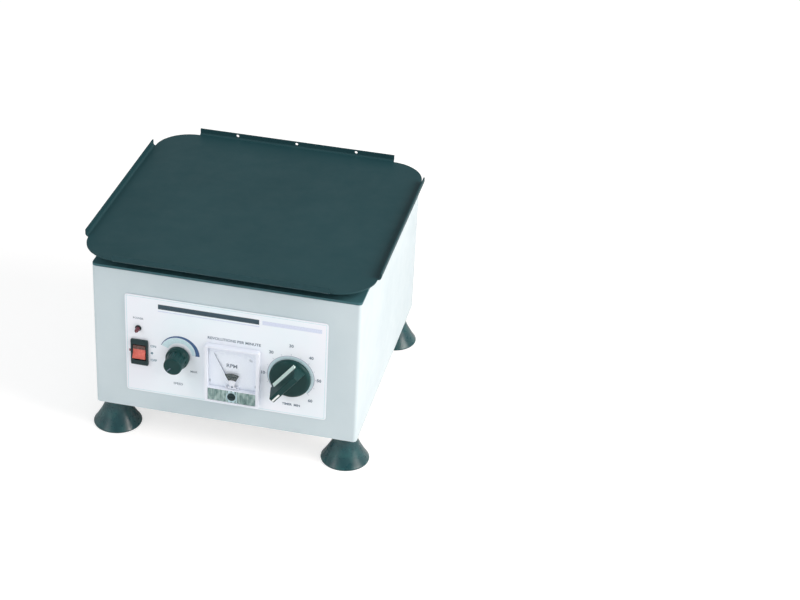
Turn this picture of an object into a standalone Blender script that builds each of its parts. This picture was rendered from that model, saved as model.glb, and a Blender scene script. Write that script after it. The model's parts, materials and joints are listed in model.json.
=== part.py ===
"""A bench shaker: a tray that moves in a level circle, on a steel cabinet with its drive and controls.

Metres, +Z up, the front faces -Y. The origin is on the floor, at the middle of the whole object's box.
"""

import math

import bmesh
import bpy
from mathutils import Vector

# Clearances between pieces; shapes that join sink in by EMBED, and cutters run on by PAST
SEAT_GAP = 0.0003
TURN_GAP = 0.0003
EMBED = 0.0008
PAST = 0.001

# Steps round a curve
FINE_STEPS = 32
ROUND_STEPS = 20
SMALL_STEPS = 12
CORNER_STEPS = 3

# Cabinet, deck and base
CABINET_WIDTH = 0.300
CABINET_DEPTH = 0.304
CABINET_HEIGHT = 0.176
WALL = 0.0015
CABINET_CORNER = 0.004
FLANGE_WIDTH = 0.008
DECK_THICKNESS = 0.003
BASE_THICKNESS = 0.002
BASE_VENT_LENGTH = 0.060
VENT_WIDTH = 0.0032
VENT_PITCH = 0.009
REAR_VENT_LENGTH = 0.034
REAR_VENT_COUNT = 8
BASE_VENT_COUNT = 8

# Feet
FOOT_HEIGHT = 0.038
FOOT_RIM_RADIUS = 0.0274
FOOT_RIM_HEIGHT = 0.0022
FOOT_NECK_RADIUS = 0.0138
FOOT_FLARE_HEIGHT = 0.027
FOOT_SEAT_WIDTH = 0.0055
FOOT_HOLLOW_HEIGHT = 0.004
FOOT_FLARE_POWER = 1.25
FOOT_INSET_X = 0.0166
FOOT_INSET_Y = 0.0222
STUD_RADIUS = 0.003
STUD_LENGTH = 0.012
NUT_RADIUS = 0.0055
NUT_HEIGHT = 0.004

# Tray and the carrier under it
TRAY_WIDTH = 0.331
TRAY_DEPTH = 0.3235
TRAY_SHEET = 0.0015
TRAY_LIP = 0.0072
TRAY_CORNER = 0.046
TRAY_BEND = 0.0025
TRAY_RISE = 0.0176
TRAY_HOLE_RADIUS = 0.0018
TRAY_HOLE_PITCH = 0.073
TRAY_HOLE_DROP = 0.0030
CARRIER_WIDTH = 0.232
CARRIER_DEPTH = 0.222
CARRIER_THICKNESS = 0.0024
CARRIER_CORNER = 0.020
LIGHTENING_RADIUS = 0.013
CUP_WALL = 0.0025

# Drive: one crank in the middle and four idler cranks with the same throw
THROW = 0.0095
CRANK_REST_ANGLE = math.radians(-102)
DRIVE_Y = 0.004
IDLER_INSET = 0.026
PIN_RADIUS = 0.004
PIN_BEARING_RADIUS = 0.011
PIN_BEARING_HEIGHT = 0.005
WEB_THICKNESS = 0.0035
IDLER_SHAFT_RADIUS = 0.004
IDLER_WEB_RADIUS = 0.0105
IDLER_SLEEVE_RADIUS = 0.011
IDLER_FLANGE_RADIUS = 0.020
IDLER_FLANGE_HEIGHT = 0.003
IDLER_SLEEVE_DEPTH = 0.024
DRIVE_SHAFT_RADIUS = 0.006
DRIVE_WEB_RADIUS = 0.0165
HOUSING_SPIGOT_RADIUS = 0.0175
HOUSING_FLANGE_RADIUS = 0.034
HOUSING_FLANGE_HEIGHT = 0.005
HOUSING_BARREL_RADIUS = 0.0195
HOUSING_BORE_RADIUS = 0.011
HOUSING_DEPTH = 0.050
BALL_BEARING_RADIUS = 0.014
BALL_BEARING_HEIGHT = 0.008
RACE_WALL = 0.0022
RACE_GROOVE = 0.0005
COUNTERWEIGHT_RADIUS = 0.056
COUNTERWEIGHT_HUB_RADIUS = 0.014
COUNTERWEIGHT_HEIGHT = 0.016
COUNTERWEIGHT_DROP = 0.001
PULLEY_HEIGHT = 0.014
DRIVE_PULLEY_RADIUS = 0.050
DRIVE_PULLEY_HUB_RADIUS = 0.014
DRIVE_PULLEY_WEB = 0.004
PULLEY_RIM_WALL = 0.005
MOTOR_PULLEY_RADIUS = 0.010
PULLEY_FLANGE_HEIGHT = 0.0018
BELT_THICKNESS = 0.0016
BELT_SIDE_GAP = 0.0006
SHAFT_TAIL = 0.004

# Motor
MOTOR_X = 0.072
MOTOR_Y = 0.059
MOTOR_RADIUS = 0.027
MOTOR_AIR_GAP = 0.0104
MOTOR_END_HEIGHT = 0.007
MOTOR_WAIST = 0.001
MOTOR_BOSS_RADIUS = 0.010
MOTOR_BOSS_HEIGHT = 0.0045
MOTOR_SHAFT_RADIUS = 0.003
MOTOR_SHAFT_SINK = 0.012
BRACKET_THICKNESS = 0.003
BRACKET_DEPTH = 0.044
BRACKET_CLEARANCE = 0.003
BRACKET_FOOT = 0.013
PULLEY_CLEARANCE = 0.003

# Control panel; places are from the cabinet's middle and its underside
PANEL_LEFT = -0.113
PANEL_RIGHT = 0.115
PANEL_BOTTOM = 0.024
PANEL_TOP = 0.148
PANEL_THICKNESS = 0.001
PANEL_CORNER = 0.003

LAMP_X = -0.0981
LAMP_Z = 0.1063
LAMP_RADIUS = 0.0024
LAMP_LENGTH = 0.0095
LAMP_BEZEL_RADIUS = 0.0036
LAMP_BEZEL_HEIGHT = 0.0014
LAMP_DEPTH = 0.012

SWITCH_X = -0.0969
SWITCH_Z = 0.076
SWITCH_WIDTH = 0.0197
SWITCH_HEIGHT = 0.032
SWITCH_BEZEL_HEIGHT = 0.0025
SWITCH_FRAME_CORNER = 0.0012
SWITCH_BODY_INSET = 0.0013
SWITCH_BODY_DEPTH = 0.019
ROCKER_WIDTH = 0.0140
ROCKER_LENGTH = 0.0190
ROCKER_DEPTH = 0.0060
ROCKER_TILT = math.radians(12)
ROCKER_PIN_DROP = 0.0050
ROCKER_PIN_RADIUS = 0.0010
ROCKER_PIN_PROUD = 0.0010

SPEED_X = -0.0523
SPEED_Z = 0.078
SPEED_SKIRT_RADIUS = 0.0132
SPEED_SKIRT_HEIGHT = 0.0075
SPEED_CAP_RADIUS = 0.0112
SPEED_CAP_TOP_RADIUS = 0.0104
SPEED_CAP_HEIGHT = 0.0150
SPEED_FLUTE_RADIUS = 0.0016
SPEED_FLUTE_COUNT = 12
SPEED_LINE_WIDTH = 0.0012
SPEED_LINE_DEPTH = 0.0006
SPEED_REST_ANGLE = math.radians(135)
POT_RADIUS = 0.012
POT_HEIGHT = 0.011

METER_X = 0.0098
METER_BOTTOM = 0.0300
METER_WIDTH = 0.0620
METER_HEIGHT = 0.0715
METER_DEPTH = 0.0075
METER_WALL = 0.0020
METER_SIDE = 0.0038
METER_SILL = 0.0024
METER_FLOOR = 0.0015
METER_BAND = 0.0152
METER_BAND_STEP = 0.0030
METER_RIB_PITCH = 0.0046
METER_RIB_DEPTH = 0.0009
METER_RIB_SHARES = (0.18, 0.30, 0.70, 0.82)
METER_CORNER = 0.002
METER_CAN_RADIUS = 0.023
METER_CAN_DEPTH = 0.026
METER_PIVOT_Z = 0.0518
METER_DIAL_THICKNESS = 0.0005
METER_WINDOW_THICKNESS = 0.0014
METER_BRIDGE_OUTER = 0.0173
METER_BRIDGE_INNER = 0.0088
METER_BRIDGE_SPREAD = math.radians(28)
METER_BRIDGE_HALF_FOOT = 0.0075
METER_BRIDGE_FOOT_DROP = 0.0026
METER_BRIDGE_LEG = 0.0022
METER_BRIDGE_THICKNESS = 0.0008
METER_SHIELD_HALF_NECK = 0.0022
METER_SHIELD_THICKNESS = 0.0005
NEEDLE_LENGTH = 0.0450
NEEDLE_WIDTH = 0.0007
NEEDLE_HUB_RADIUS = 0.0018
NEEDLE_THICKNESS = 0.0006
NEEDLE_LIFT = 0.0010
NEEDLE_PIN_RADIUS = 0.0006
NEEDLE_REST_ANGLE = math.radians(117)
ZERO_SCREW_RADIUS = 0.0047
ZERO_SCREW_HEIGHT = 0.0012
ZERO_SCREW_SHANK = 0.0020
ZERO_SCREW_SLOT = 0.0011

TIMER_X = 0.0747
TIMER_Z = 0.0740
TIMER_DISC_RADIUS = 0.0232
TIMER_DISC_HEIGHT = 0.0058
TIMER_GRIP_HEIGHT = 0.0235
TIMER_GRIP_TAIL = 0.0200
TIMER_GRIP_NOSE = 0.0255
TIMER_GRIP_FOOT = 0.0073
TIMER_GRIP_TOP = 0.0032
TIMER_REST_ANGLE = math.radians(141)
TIMER_BODY_SIZE = 0.046
TIMER_BODY_DEPTH = 0.036

SPINDLE_RADIUS = 0.003
SPINDLE_SINK = 0.008
BUSH_RADIUS = 0.0048
BUSH_PROUD = 0.0012
KNOB_LIFT = 0.0016
KNOB_BORE_DEPTH = 0.0045

# Electrics behind the panel and at the rear
BOARD_X = -0.078
BOARD_Y = 0.062
BOARD_WIDTH = 0.080
BOARD_DEPTH = 0.090
BOARD_THICKNESS = 0.0016
BOARD_POST_RADIUS = 0.003
BOARD_POST_HEIGHT = 0.008
BOARD_POST_INSET = 0.006
HEAT_SINK_WIDTH = 0.008
HEAT_SINK_LENGTH = 0.040
HEAT_SINK_HEIGHT = 0.026
CAPACITOR_RADIUS = 0.009
CAPACITOR_HEIGHT = 0.024
TERMINAL_LENGTH = 0.040
TERMINAL_WIDTH = 0.009
TERMINAL_HEIGHT = 0.010
TRANSFORMER_X = -0.062
TRANSFORMER_Y = -0.046
CORE_WIDTH = 0.060
CORE_DEPTH = 0.024
CORE_HEIGHT = 0.050
COIL_WIDTH = 0.038
COIL_DEPTH = 0.046
COIL_HEIGHT = 0.030
INLET_X = 0.092
INLET_Z = 0.036
INLET_PLATE_WIDTH = 0.031
INLET_PLATE_HEIGHT = 0.024
INLET_PLATE_THICKNESS = 0.0025
INLET_BODY_WIDTH = 0.0268
INLET_BODY_HEIGHT = 0.0198
INLET_BODY_DEPTH = 0.018
INLET_MOUTH_WIDTH = 0.0235
INLET_MOUTH_HEIGHT = 0.0155
INLET_MOUTH_DEPTH = 0.0165
INLET_BLADE_WIDTH = 0.002
INLET_BLADE_HEIGHT = 0.004
INLET_BLADE_LENGTH = 0.0105
INLET_BLADE_PITCH = 0.007
INLET_BLADE_DROP = 0.002
FUSE_X = 0.052
FUSE_BODY_RADIUS = 0.006
FUSE_BODY_DEPTH = 0.030
FUSE_NUT_RADIUS = 0.0085
FUSE_NUT_HEIGHT = 0.0022
FUSE_CAP_RADIUS = 0.0068
FUSE_CAP_HEIGHT = 0.0085
FUSE_CAP_ROUNDING = 0.001

# Levels and reaches that follow from the sizes above
CABINET_BOTTOM = FOOT_HEIGHT
BASE_TOP = CABINET_BOTTOM + BASE_THICKNESS
DECK_BOTTOM = CABINET_BOTTOM + CABINET_HEIGHT
DECK_TOP = DECK_BOTTOM + DECK_THICKNESS
TRAY_TOP = DECK_BOTTOM + TRAY_RISE
TRAY_UNDERSIDE = TRAY_TOP - TRAY_SHEET
CARRIER_TOP = TRAY_UNDERSIDE - SEAT_GAP
CARRIER_UNDERSIDE = CARRIER_TOP - CARRIER_THICKNESS
PIN_BEARING_TOP = CARRIER_UNDERSIDE - SEAT_GAP
PIN_BEARING_BOTTOM = PIN_BEARING_TOP - PIN_BEARING_HEIGHT
WEB_TOP = PIN_BEARING_BOTTOM - SEAT_GAP
WEB_BOTTOM = WEB_TOP - WEB_THICKNESS
SLEEVE_TOP = WEB_BOTTOM - SEAT_GAP
HOUSING_BOTTOM = DECK_BOTTOM - HOUSING_DEPTH
COUNTERWEIGHT_TOP = HOUSING_BOTTOM - COUNTERWEIGHT_DROP
COUNTERWEIGHT_BOTTOM = COUNTERWEIGHT_TOP - COUNTERWEIGHT_HEIGHT
PULLEY_TOP = COUNTERWEIGHT_BOTTOM - SEAT_GAP
PULLEY_BOTTOM = PULLEY_TOP - PULLEY_HEIGHT
BRACKET_TOP = PULLEY_BOTTOM - PULLEY_CLEARANCE
MOTOR_TOP = BRACKET_TOP - BRACKET_THICKNESS - SEAT_GAP
MOTOR_BOTTOM = BASE_TOP + MOTOR_AIR_GAP
PANEL_BACK = SEAT_GAP
PANEL_FRONT = SEAT_GAP + PANEL_THICKNESS
KNOB_BASE = PANEL_FRONT + KNOB_LIFT
INNER_WIDTH = CABINET_WIDTH - 2 * WALL
SHELL_DEPTH = CABINET_DEPTH - WALL - SEAT_GAP
FRONT_REACH = CABINET_DEPTH / 2 + KNOB_BASE + TIMER_GRIP_HEIGHT
FUSE_REACH = CABINET_DEPTH / 2 + SEAT_GAP + FUSE_NUT_HEIGHT + FUSE_CAP_HEIGHT
TRAY_REACH = DRIVE_Y + THROW * math.sin(CRANK_REST_ANGLE) + TRAY_DEPTH / 2
REAR_REACH = max(FUSE_REACH, TRAY_REACH)
CABINET_Y = (FRONT_REACH - REAR_REACH) / 2
IDLER_X = CARRIER_WIDTH / 2 - IDLER_INSET
IDLER_Y = CARRIER_DEPTH / 2 - IDLER_INSET
PIN_X = THROW * math.cos(CRANK_REST_ANGLE)
PIN_Y = THROW * math.sin(CRANK_REST_ANGLE)
CABINET_X = -PIN_X


def clear_scene():
    for obj in list(bpy.data.objects):
        bpy.data.objects.remove(obj, do_unlink=True)


def new_collection(name):
    collection = bpy.data.collections.new(name)
    bpy.context.scene.collection.children.link(collection)
    return collection


clear_scene()
PARTS = new_collection("pipette_shaker")
CUTTERS = new_collection("cutters")


def material(name, colour, roughness, metallic=0.0, alpha=1.0):
    made = bpy.data.materials.new(name)
    made.use_nodes = True
    shader = made.node_tree.nodes["Principled BSDF"]
    shader.inputs["Base Color"].default_value = (*colour, 1.0)
    shader.inputs["Roughness"].default_value = roughness
    shader.inputs["Metallic"].default_value = metallic
    shader.inputs["Alpha"].default_value = alpha
    made.diffuse_color = (*colour, alpha)
    return made


WHITE_PAINT = material("white_paint", (0.62, 0.69, 0.71), 0.35)
DARK_PAINT = material("dark_paint", (0.034, 0.077, 0.087), 0.55)
RUBBER = material("black_rubber", (0.035, 0.075, 0.085), 0.6)
PRINTED_PLATE = material("printed_plate", (0.76, 0.86, 0.95), 0.3)
BLACK_PLASTIC = material("black_plastic", (0.03, 0.06, 0.065), 0.4)
RED_PLASTIC = material("red_plastic", (0.55, 0.10, 0.08), 0.3)
RED_LENS = material("red_lens", (0.18, 0.02, 0.03), 0.15)
WHITE_PLASTIC = material("white_plastic", (0.75, 0.82, 0.92), 0.35)
BAND_PLASTIC = material("band_plastic", (0.27, 0.42, 0.40), 0.5)
CLEAR_PLASTIC = material("clear_plastic", (0.90, 0.94, 0.97), 0.05, alpha=0.25)
DIAL_CARD = material("dial_card", (0.80, 0.86, 0.95), 0.6)
STEEL = material("steel", (0.45, 0.46, 0.48), 0.35, 1.0)
ALUMINIUM = material("aluminium", (0.70, 0.71, 0.73), 0.4, 1.0)
ZINC_PLATE = material("zinc_plate", (0.55, 0.56, 0.55), 0.45, 1.0)
BELT_RUBBER = material("belt_rubber", (0.02, 0.02, 0.02), 0.7)
BOARD_GREEN = material("board_green", (0.03, 0.16, 0.06), 0.5)
CORE_STEEL = material("core_steel", (0.16, 0.16, 0.18), 0.5, 0.6)


def empty(name, at, turn=(0, 0, 0), parent=None):
    obj = bpy.data.objects.new(name, None)
    obj.location = at
    obj.rotation_euler = turn
    obj.parent = parent
    obj.empty_display_size = 0.02
    PARTS.objects.link(obj)
    return obj


def place(name, data, parent, look, at=(0, 0, 0), turn=(0, 0, 0)):
    """Put a mesh or curve in the scene; with no look it is a cutter or a guide."""
    obj = bpy.data.objects.new(name, data)
    obj.parent = parent
    obj.location = at
    obj.rotation_euler = turn
    if look is None:
        obj.hide_render = True
        obj.display_type = "WIRE"
        CUTTERS.objects.link(obj)
    else:
        data.materials.append(look)
        PARTS.objects.link(obj)
    return obj


def mesh_from(bm):
    mesh = bpy.data.meshes.new("shape")
    bm.to_mesh(mesh)
    bm.free()
    return mesh


def smooth(mesh):
    mesh.shade_smooth()
    mesh.set_sharp_from_angle(angle=math.radians(35))


def block(name, low, high, parent, look=None):
    """A box between two corners."""
    low, high = Vector(low), Vector(high)
    bm = bmesh.new()
    bmesh.ops.create_cube(bm, size=1)
    bmesh.ops.scale(bm, vec=high - low, verts=bm.verts)
    bmesh.ops.translate(bm, vec=(high + low) / 2, verts=bm.verts)
    return place(name, mesh_from(bm), parent, look)


def rod(name, radius, low, high, parent, look=None, centre=(0, 0), top_radius=None, steps=SMALL_STEPS):
    """A cylinder or cone along the parent's Z."""
    bm = bmesh.new()
    bmesh.ops.create_cone(
        bm,
        cap_ends=True,
        segments=steps,
        radius1=radius,
        radius2=radius if top_radius is None else top_radius,
        depth=high - low,
    )
    bmesh.ops.translate(bm, vec=(centre[0], centre[1], (low + high) / 2), verts=bm.verts)
    mesh = mesh_from(bm)
    smooth(mesh)
    return place(name, mesh, parent, look)


def turned(name, profile, parent, look=None, at=(0, 0, 0), ring=False, steps=ROUND_STEPS):
    """A profile of (radius, height) points, from the top down its outer side, turned about Z."""
    mesh = bpy.data.meshes.new(name)
    points = [(radius, 0, height) for radius, height in profile]
    edges = [(i, i + 1) for i in range(len(points) - 1)]
    if ring:
        edges.append((len(points) - 1, 0))
    mesh.from_pydata(points, edges, [])
    obj = place(name, mesh, parent, look, at)
    screw = obj.modifiers.new("turn", "SCREW")
    screw.steps = steps
    screw.render_steps = steps
    screw.use_merge_vertices = True
    screw.merge_threshold = 0.00002
    return obj


def circle(radius, centre=(0, 0), steps=SMALL_STEPS):
    turns = [2 * math.pi * step / steps for step in range(steps)]
    return [(centre[0] + radius * math.cos(a), centre[1] + radius * math.sin(a)) for a in turns]


def arc(radius, start, stop, steps, centre=(0, 0)):
    turns = [start + (stop - start) * step / steps for step in range(steps + 1)]
    return [(centre[0] + radius * math.cos(a), centre[1] + radius * math.sin(a)) for a in turns]


def rounded(width, depth, radii, centre=(0, 0), steps=CORNER_STEPS):
    """A rectangle with its own radius at each corner, from the right rear one, counterclockwise."""
    points = []
    for corner, (side_x, side_y) in enumerate(((1, 1), (-1, 1), (-1, -1), (1, -1))):
        radius = radii[corner]
        middle = (centre[0] + side_x * (width / 2 - radius), centre[1] + side_y * (depth / 2 - radius))
        if radius > 0:
            start = math.pi / 2 * corner
            points += arc(radius, start, start + math.pi / 2, steps, middle)
        else:
            points.append(middle)
    return points


def slot(length, width, centre, upright=False):
    size = (width, length) if upright else (length, width)
    return rounded(*size, [width / 2 * 0.99] * 4, centre, steps=1)


def stretched_round(first, first_radius, second, second_radius, steps=ROUND_STEPS):
    """The outline of a band pulled tight round two circles, counterclockwise."""
    run_x = second[0] - first[0]
    run_y = second[1] - first[1]
    heading = math.atan2(run_y, run_x)
    lean = math.acos((first_radius - second_radius) / math.hypot(run_x, run_y))
    arcs = (
        (first, first_radius, heading + lean, heading + 2 * math.pi - lean),
        (second, second_radius, heading - lean, heading + lean),
    )
    points = []
    for centre, radius, start, stop in arcs:
        count = max(6, round(steps * (stop - start) / (2 * math.pi)))
        points += arc(radius, start, stop, count, centre)
    return points


def plate(name, loops, low, high, parent, look=None, at=(0, 0), turn=(0, 0, 0)):
    """A flat outline with its holes, given thickness from low to high along the parent's Z."""
    curve = bpy.data.curves.new(name, "CURVE")
    curve.dimensions = "2D"
    curve.fill_mode = "BOTH"
    curve.extrude = (high - low) / 2
    for loop in loops:
        spline = curve.splines.new("POLY")
        spline.points.add(len(loop) - 1)
        for point, (x, y) in zip(spline.points, loop):
            point.co = (x, y, 0, 1)
        spline.use_cyclic_u = True
    return place(name, curve, parent, look, (at[0], at[1], (low + high) / 2), turn)


def solid_plate(name, loops, low, high, parent, look=None, at=(0, 0), turn=(0, 0, 0)):
    """The same as a welded mesh, which can be cut, joined or rounded."""
    guide = plate(name + "_outline", loops, low, high, parent, None, at, turn)
    bpy.context.view_layer.update()
    flat = guide.evaluated_get(bpy.context.evaluated_depsgraph_get())
    mesh = bpy.data.meshes.new_from_object(flat)
    bm = bmesh.new()
    bm.from_mesh(mesh)
    bmesh.ops.remove_doubles(bm, verts=bm.verts, dist=0.000001)
    bm.to_mesh(mesh)
    bm.free()
    mesh.materials.clear()
    obj = place(name, mesh, parent, look, guide.location, guide.rotation_euler)
    bpy.data.objects.remove(guide, do_unlink=True)
    return obj


def cut(obj, *cutters):
    for cutter in cutters:
        modifier = obj.modifiers.new(cutter.name, "BOOLEAN")
        modifier.operation = "DIFFERENCE"
        modifier.object = cutter
    return obj


def join(obj, *pieces):
    for piece in pieces:
        modifier = obj.modifiers.new(piece.name, "BOOLEAN")
        modifier.operation = "UNION"
        modifier.object = piece
    return obj


def bevel(obj, width, segments=2, angle=35):
    modifier = obj.modifiers.new("edges", "BEVEL")
    modifier.width = width
    modifier.segments = segments
    modifier.limit_method = "ANGLE"
    modifier.angle_limit = math.radians(angle)
    return obj


def four_corners(half_x, half_y):
    """The four corner places, with the name of each."""
    return (
        ("front_left", -half_x, -half_y),
        ("front_right", half_x, -half_y),
        ("rear_left", -half_x, half_y),
        ("rear_right", half_x, half_y),
    )


CABINET = empty("cabinet", (CABINET_X, CABINET_Y, 0))
DRIVE_AXIS = empty("drive_axis", (0, DRIVE_Y, 0), parent=CABINET)
MOTOR_AXIS = empty("motor_axis", (MOTOR_X, MOTOR_Y, 0), parent=CABINET)
PLATFORM = empty("platform_pivot", (PIN_X, PIN_Y, 0), parent=DRIVE_AXIS)
FRONT_FACE = -CABINET_DEPTH / 2
TOWARDS_FRONT = (math.radians(90), 0, 0)
TOWARDS_REAR = (math.radians(90), 0, math.radians(180))


def front_control(name, x, z):
    """An empty on the front wall's outer face; its Z points at the user and its Y up."""
    return empty(name, (x, FRONT_FACE, CABINET_BOTTOM + z), TOWARDS_FRONT, CABINET)


def rear_control(name, x, z):
    return empty(name, (x, -FRONT_FACE, CABINET_BOTTOM + z), TOWARDS_REAR, CABINET)


LAMP = front_control("lamp_place", LAMP_X, LAMP_Z)
SWITCH = front_control("switch_place", SWITCH_X, SWITCH_Z)
SPEED = front_control("speed_place", SPEED_X, SPEED_Z)
METER = front_control("meter_place", METER_X, METER_PIVOT_Z)
TIMER = front_control("timer_place", TIMER_X, TIMER_Z)
INLET = rear_control("inlet_place", INLET_X, INLET_Z)
FUSE = rear_control("fuse_place", FUSE_X, INLET_Z)


def make_feet():
    """Rubber cones that flare to a flat rim, each with its stud and nut through the base."""
    top = CABINET_BOTTOM - SEAT_GAP
    nut_low = BASE_TOP + SEAT_GAP
    nut_top = nut_low + NUT_HEIGHT
    stud_top = CABINET_BOTTOM + STUD_LENGTH
    flare = []
    flare_steps = 4
    for step in range(flare_steps + 1):
        share = step / flare_steps
        spread = (FOOT_RIM_RADIUS - FOOT_NECK_RADIUS) * share**FOOT_FLARE_POWER
        height = FOOT_FLARE_HEIGHT + (FOOT_RIM_HEIGHT - FOOT_FLARE_HEIGHT) * share
        flare.append((FOOT_NECK_RADIUS + spread, height))
    hollow_radius = FOOT_RIM_RADIUS - FOOT_SEAT_WIDTH
    profile = [
        (0, stud_top),
        (STUD_RADIUS, stud_top),
        (STUD_RADIUS, nut_top),
        (NUT_RADIUS, nut_top),
        (NUT_RADIUS, nut_low),
        (STUD_RADIUS, nut_low),
        (STUD_RADIUS, top),
        (FOOT_NECK_RADIUS - 0.0012, top),
        (FOOT_NECK_RADIUS, top - 0.0012),
        *flare,
        (FOOT_RIM_RADIUS, 0),
        (hollow_radius, 0),
        (0, FOOT_HOLLOW_HEIGHT),
    ]
    half_x = CABINET_WIDTH / 2 - FOOT_INSET_X
    half_y = CABINET_DEPTH / 2 - FOOT_INSET_Y
    for corner, x, y in four_corners(half_x, half_y):
        turned("foot_" + corner, profile, CABINET, RUBBER, (x, y, 0))


def make_cabinet_shell():
    """Front and sides folded from one sheet, with flanges inside for the deck, base and rear panel."""
    radii = [0, 0, CABINET_CORNER, CABINET_CORNER]
    inner_radius = max(CABINET_CORNER - WALL, WALL / 3)
    middle = -(CABINET_DEPTH - SHELL_DEPTH) / 2
    shell = solid_plate(
        "cabinet_shell",
        [rounded(CABINET_WIDTH, SHELL_DEPTH, radii, (0, middle))],
        CABINET_BOTTOM,
        DECK_BOTTOM,
        CABINET,
        WHITE_PAINT,
    )
    inner_depth = SHELL_DEPTH - 2 * WALL
    inner_radii = [0, 0, inner_radius, inner_radius]
    flange_low = BASE_TOP + SEAT_GAP
    cavity = solid_plate(
        "shell_cavity",
        [rounded(INNER_WIDTH, inner_depth, inner_radii, (0, middle))],
        flange_low + WALL,
        DECK_BOTTOM - WALL,
        CABINET,
    )
    recess = solid_plate(
        "base_recess",
        [rounded(INNER_WIDTH, inner_depth, inner_radii, (0, middle))],
        CABINET_BOTTOM - WALL,
        flange_low,
        CABINET,
    )
    mouth = block(
        "shell_mouth",
        (-INNER_WIDTH / 2 + FLANGE_WIDTH, middle - inner_depth / 2 + FLANGE_WIDTH, CABINET_BOTTOM - WALL),
        (INNER_WIDTH / 2 - FLANGE_WIDTH, middle + inner_depth / 2 - FLANGE_WIDTH, DECK_BOTTOM + WALL),
        CABINET,
    )
    rear_opening = block(
        "rear_opening",
        (-INNER_WIDTH / 2 + FLANGE_WIDTH, 0, flange_low + FLANGE_WIDTH),
        (INNER_WIDTH / 2 - FLANGE_WIDTH, CABINET_DEPTH, DECK_BOTTOM - FLANGE_WIDTH),
        CABINET,
    )
    cut(shell, cavity, recess, mouth, rear_opening)
    cut(shell, *front_wall_cutters("wall", -WALL * 2, WALL))
    return shell


def front_wall_cutters(prefix, low, high):
    """The holes that the controls pass through, from low to high before the front face."""
    switch_x = SWITCH_WIDTH / 2 - SWITCH_BODY_INSET + SEAT_GAP
    switch_y = SWITCH_HEIGHT / 2 - SWITCH_BODY_INSET + SEAT_GAP
    return (
        rod(prefix + "_lamp_hole", LAMP_RADIUS + SEAT_GAP, low, high, LAMP),
        block(prefix + "_switch_hole", (-switch_x, -switch_y, low), (switch_x, switch_y, high), SWITCH),
        rod(prefix + "_speed_hole", BUSH_RADIUS + SEAT_GAP, low, high, SPEED),
        meter_can_rod(prefix + "_meter_hole", METER_CAN_RADIUS + SEAT_GAP, low, high),
        rod(prefix + "_timer_hole", BUSH_RADIUS + SEAT_GAP, low, high, TIMER),
    )


def meter_can_rod(name, radius, low, high):
    """A rod on the axis of the meter's round can, in the middle of its case and above its pivot."""
    centre = (0, METER_BOTTOM + METER_HEIGHT / 2 - METER_PIVOT_Z)
    return rod(name, radius, low, high, METER, centre=centre, steps=ROUND_STEPS)


def make_deck():
    """The dark steel plate that closes the cabinet and carries the bearings."""
    radii = [CABINET_CORNER] * 4
    holes = [circle(HOUSING_SPIGOT_RADIUS + SEAT_GAP, (0, DRIVE_Y), ROUND_STEPS)]
    for _, x, y in four_corners(IDLER_X, IDLER_Y):
        holes.append(circle(IDLER_SLEEVE_RADIUS + SEAT_GAP, (x, y + DRIVE_Y)))
    plate(
        "deck_plate",
        [rounded(CABINET_WIDTH, CABINET_DEPTH, radii), *holes],
        DECK_BOTTOM + SEAT_GAP,
        DECK_TOP,
        CABINET,
        DARK_PAINT,
    )


def make_base():
    """The bottom cover, with a row of air slots under the motor and holes for the feet."""
    middle = -(CABINET_DEPTH - SHELL_DEPTH) / 2
    width = INNER_WIDTH - 2 * SEAT_GAP
    depth = SHELL_DEPTH - 2 * WALL - 2 * SEAT_GAP
    loops = [rounded(width, depth, [CABINET_CORNER] * 4, (0, middle))]
    for _, x, y in four_corners(CABINET_WIDTH / 2 - FOOT_INSET_X, CABINET_DEPTH / 2 - FOOT_INSET_Y):
        loops.append(circle(STUD_RADIUS + SEAT_GAP, (x, y)))
    for index in range(BASE_VENT_COUNT):
        x = (index - (BASE_VENT_COUNT - 1) / 2) * VENT_PITCH
        loops.append(slot(BASE_VENT_LENGTH, VENT_WIDTH, (x, MOTOR_Y), upright=True))
    plate("base_plate", loops, CABINET_BOTTOM, BASE_TOP, CABINET, ZINC_PLATE)


def make_rear_panel():
    """The flat rear cover with its air slots, power inlet and fuse."""
    place_at = rear_control("rear_panel_place", 0, CABINET_HEIGHT / 2)
    low_z = INLET_Z - CABINET_HEIGHT / 2
    opening_x = INLET_BODY_WIDTH + 2 * SEAT_GAP
    opening_y = INLET_BODY_HEIGHT + 2 * SEAT_GAP
    loops = [
        rounded(CABINET_WIDTH, CABINET_HEIGHT, [0, 0, 0, 0]),
        rounded(opening_x, opening_y, [0, 0, 0, 0], (-INLET_X, low_z)),
        circle(FUSE_BODY_RADIUS + SEAT_GAP, (-FUSE_X, low_z)),
    ]
    for side in (-1, 1):
        for index in range(REAR_VENT_COUNT):
            x = side * REAR_VENT_LENGTH * 0.6
            y = CABINET_HEIGHT * 0.12 + (index - REAR_VENT_COUNT / 2) * VENT_PITCH * 0.8
            loops.append(slot(REAR_VENT_LENGTH, VENT_WIDTH, (x, y)))
    plate("rear_panel", loops, -WALL, 0, place_at, WHITE_PAINT)


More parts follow.
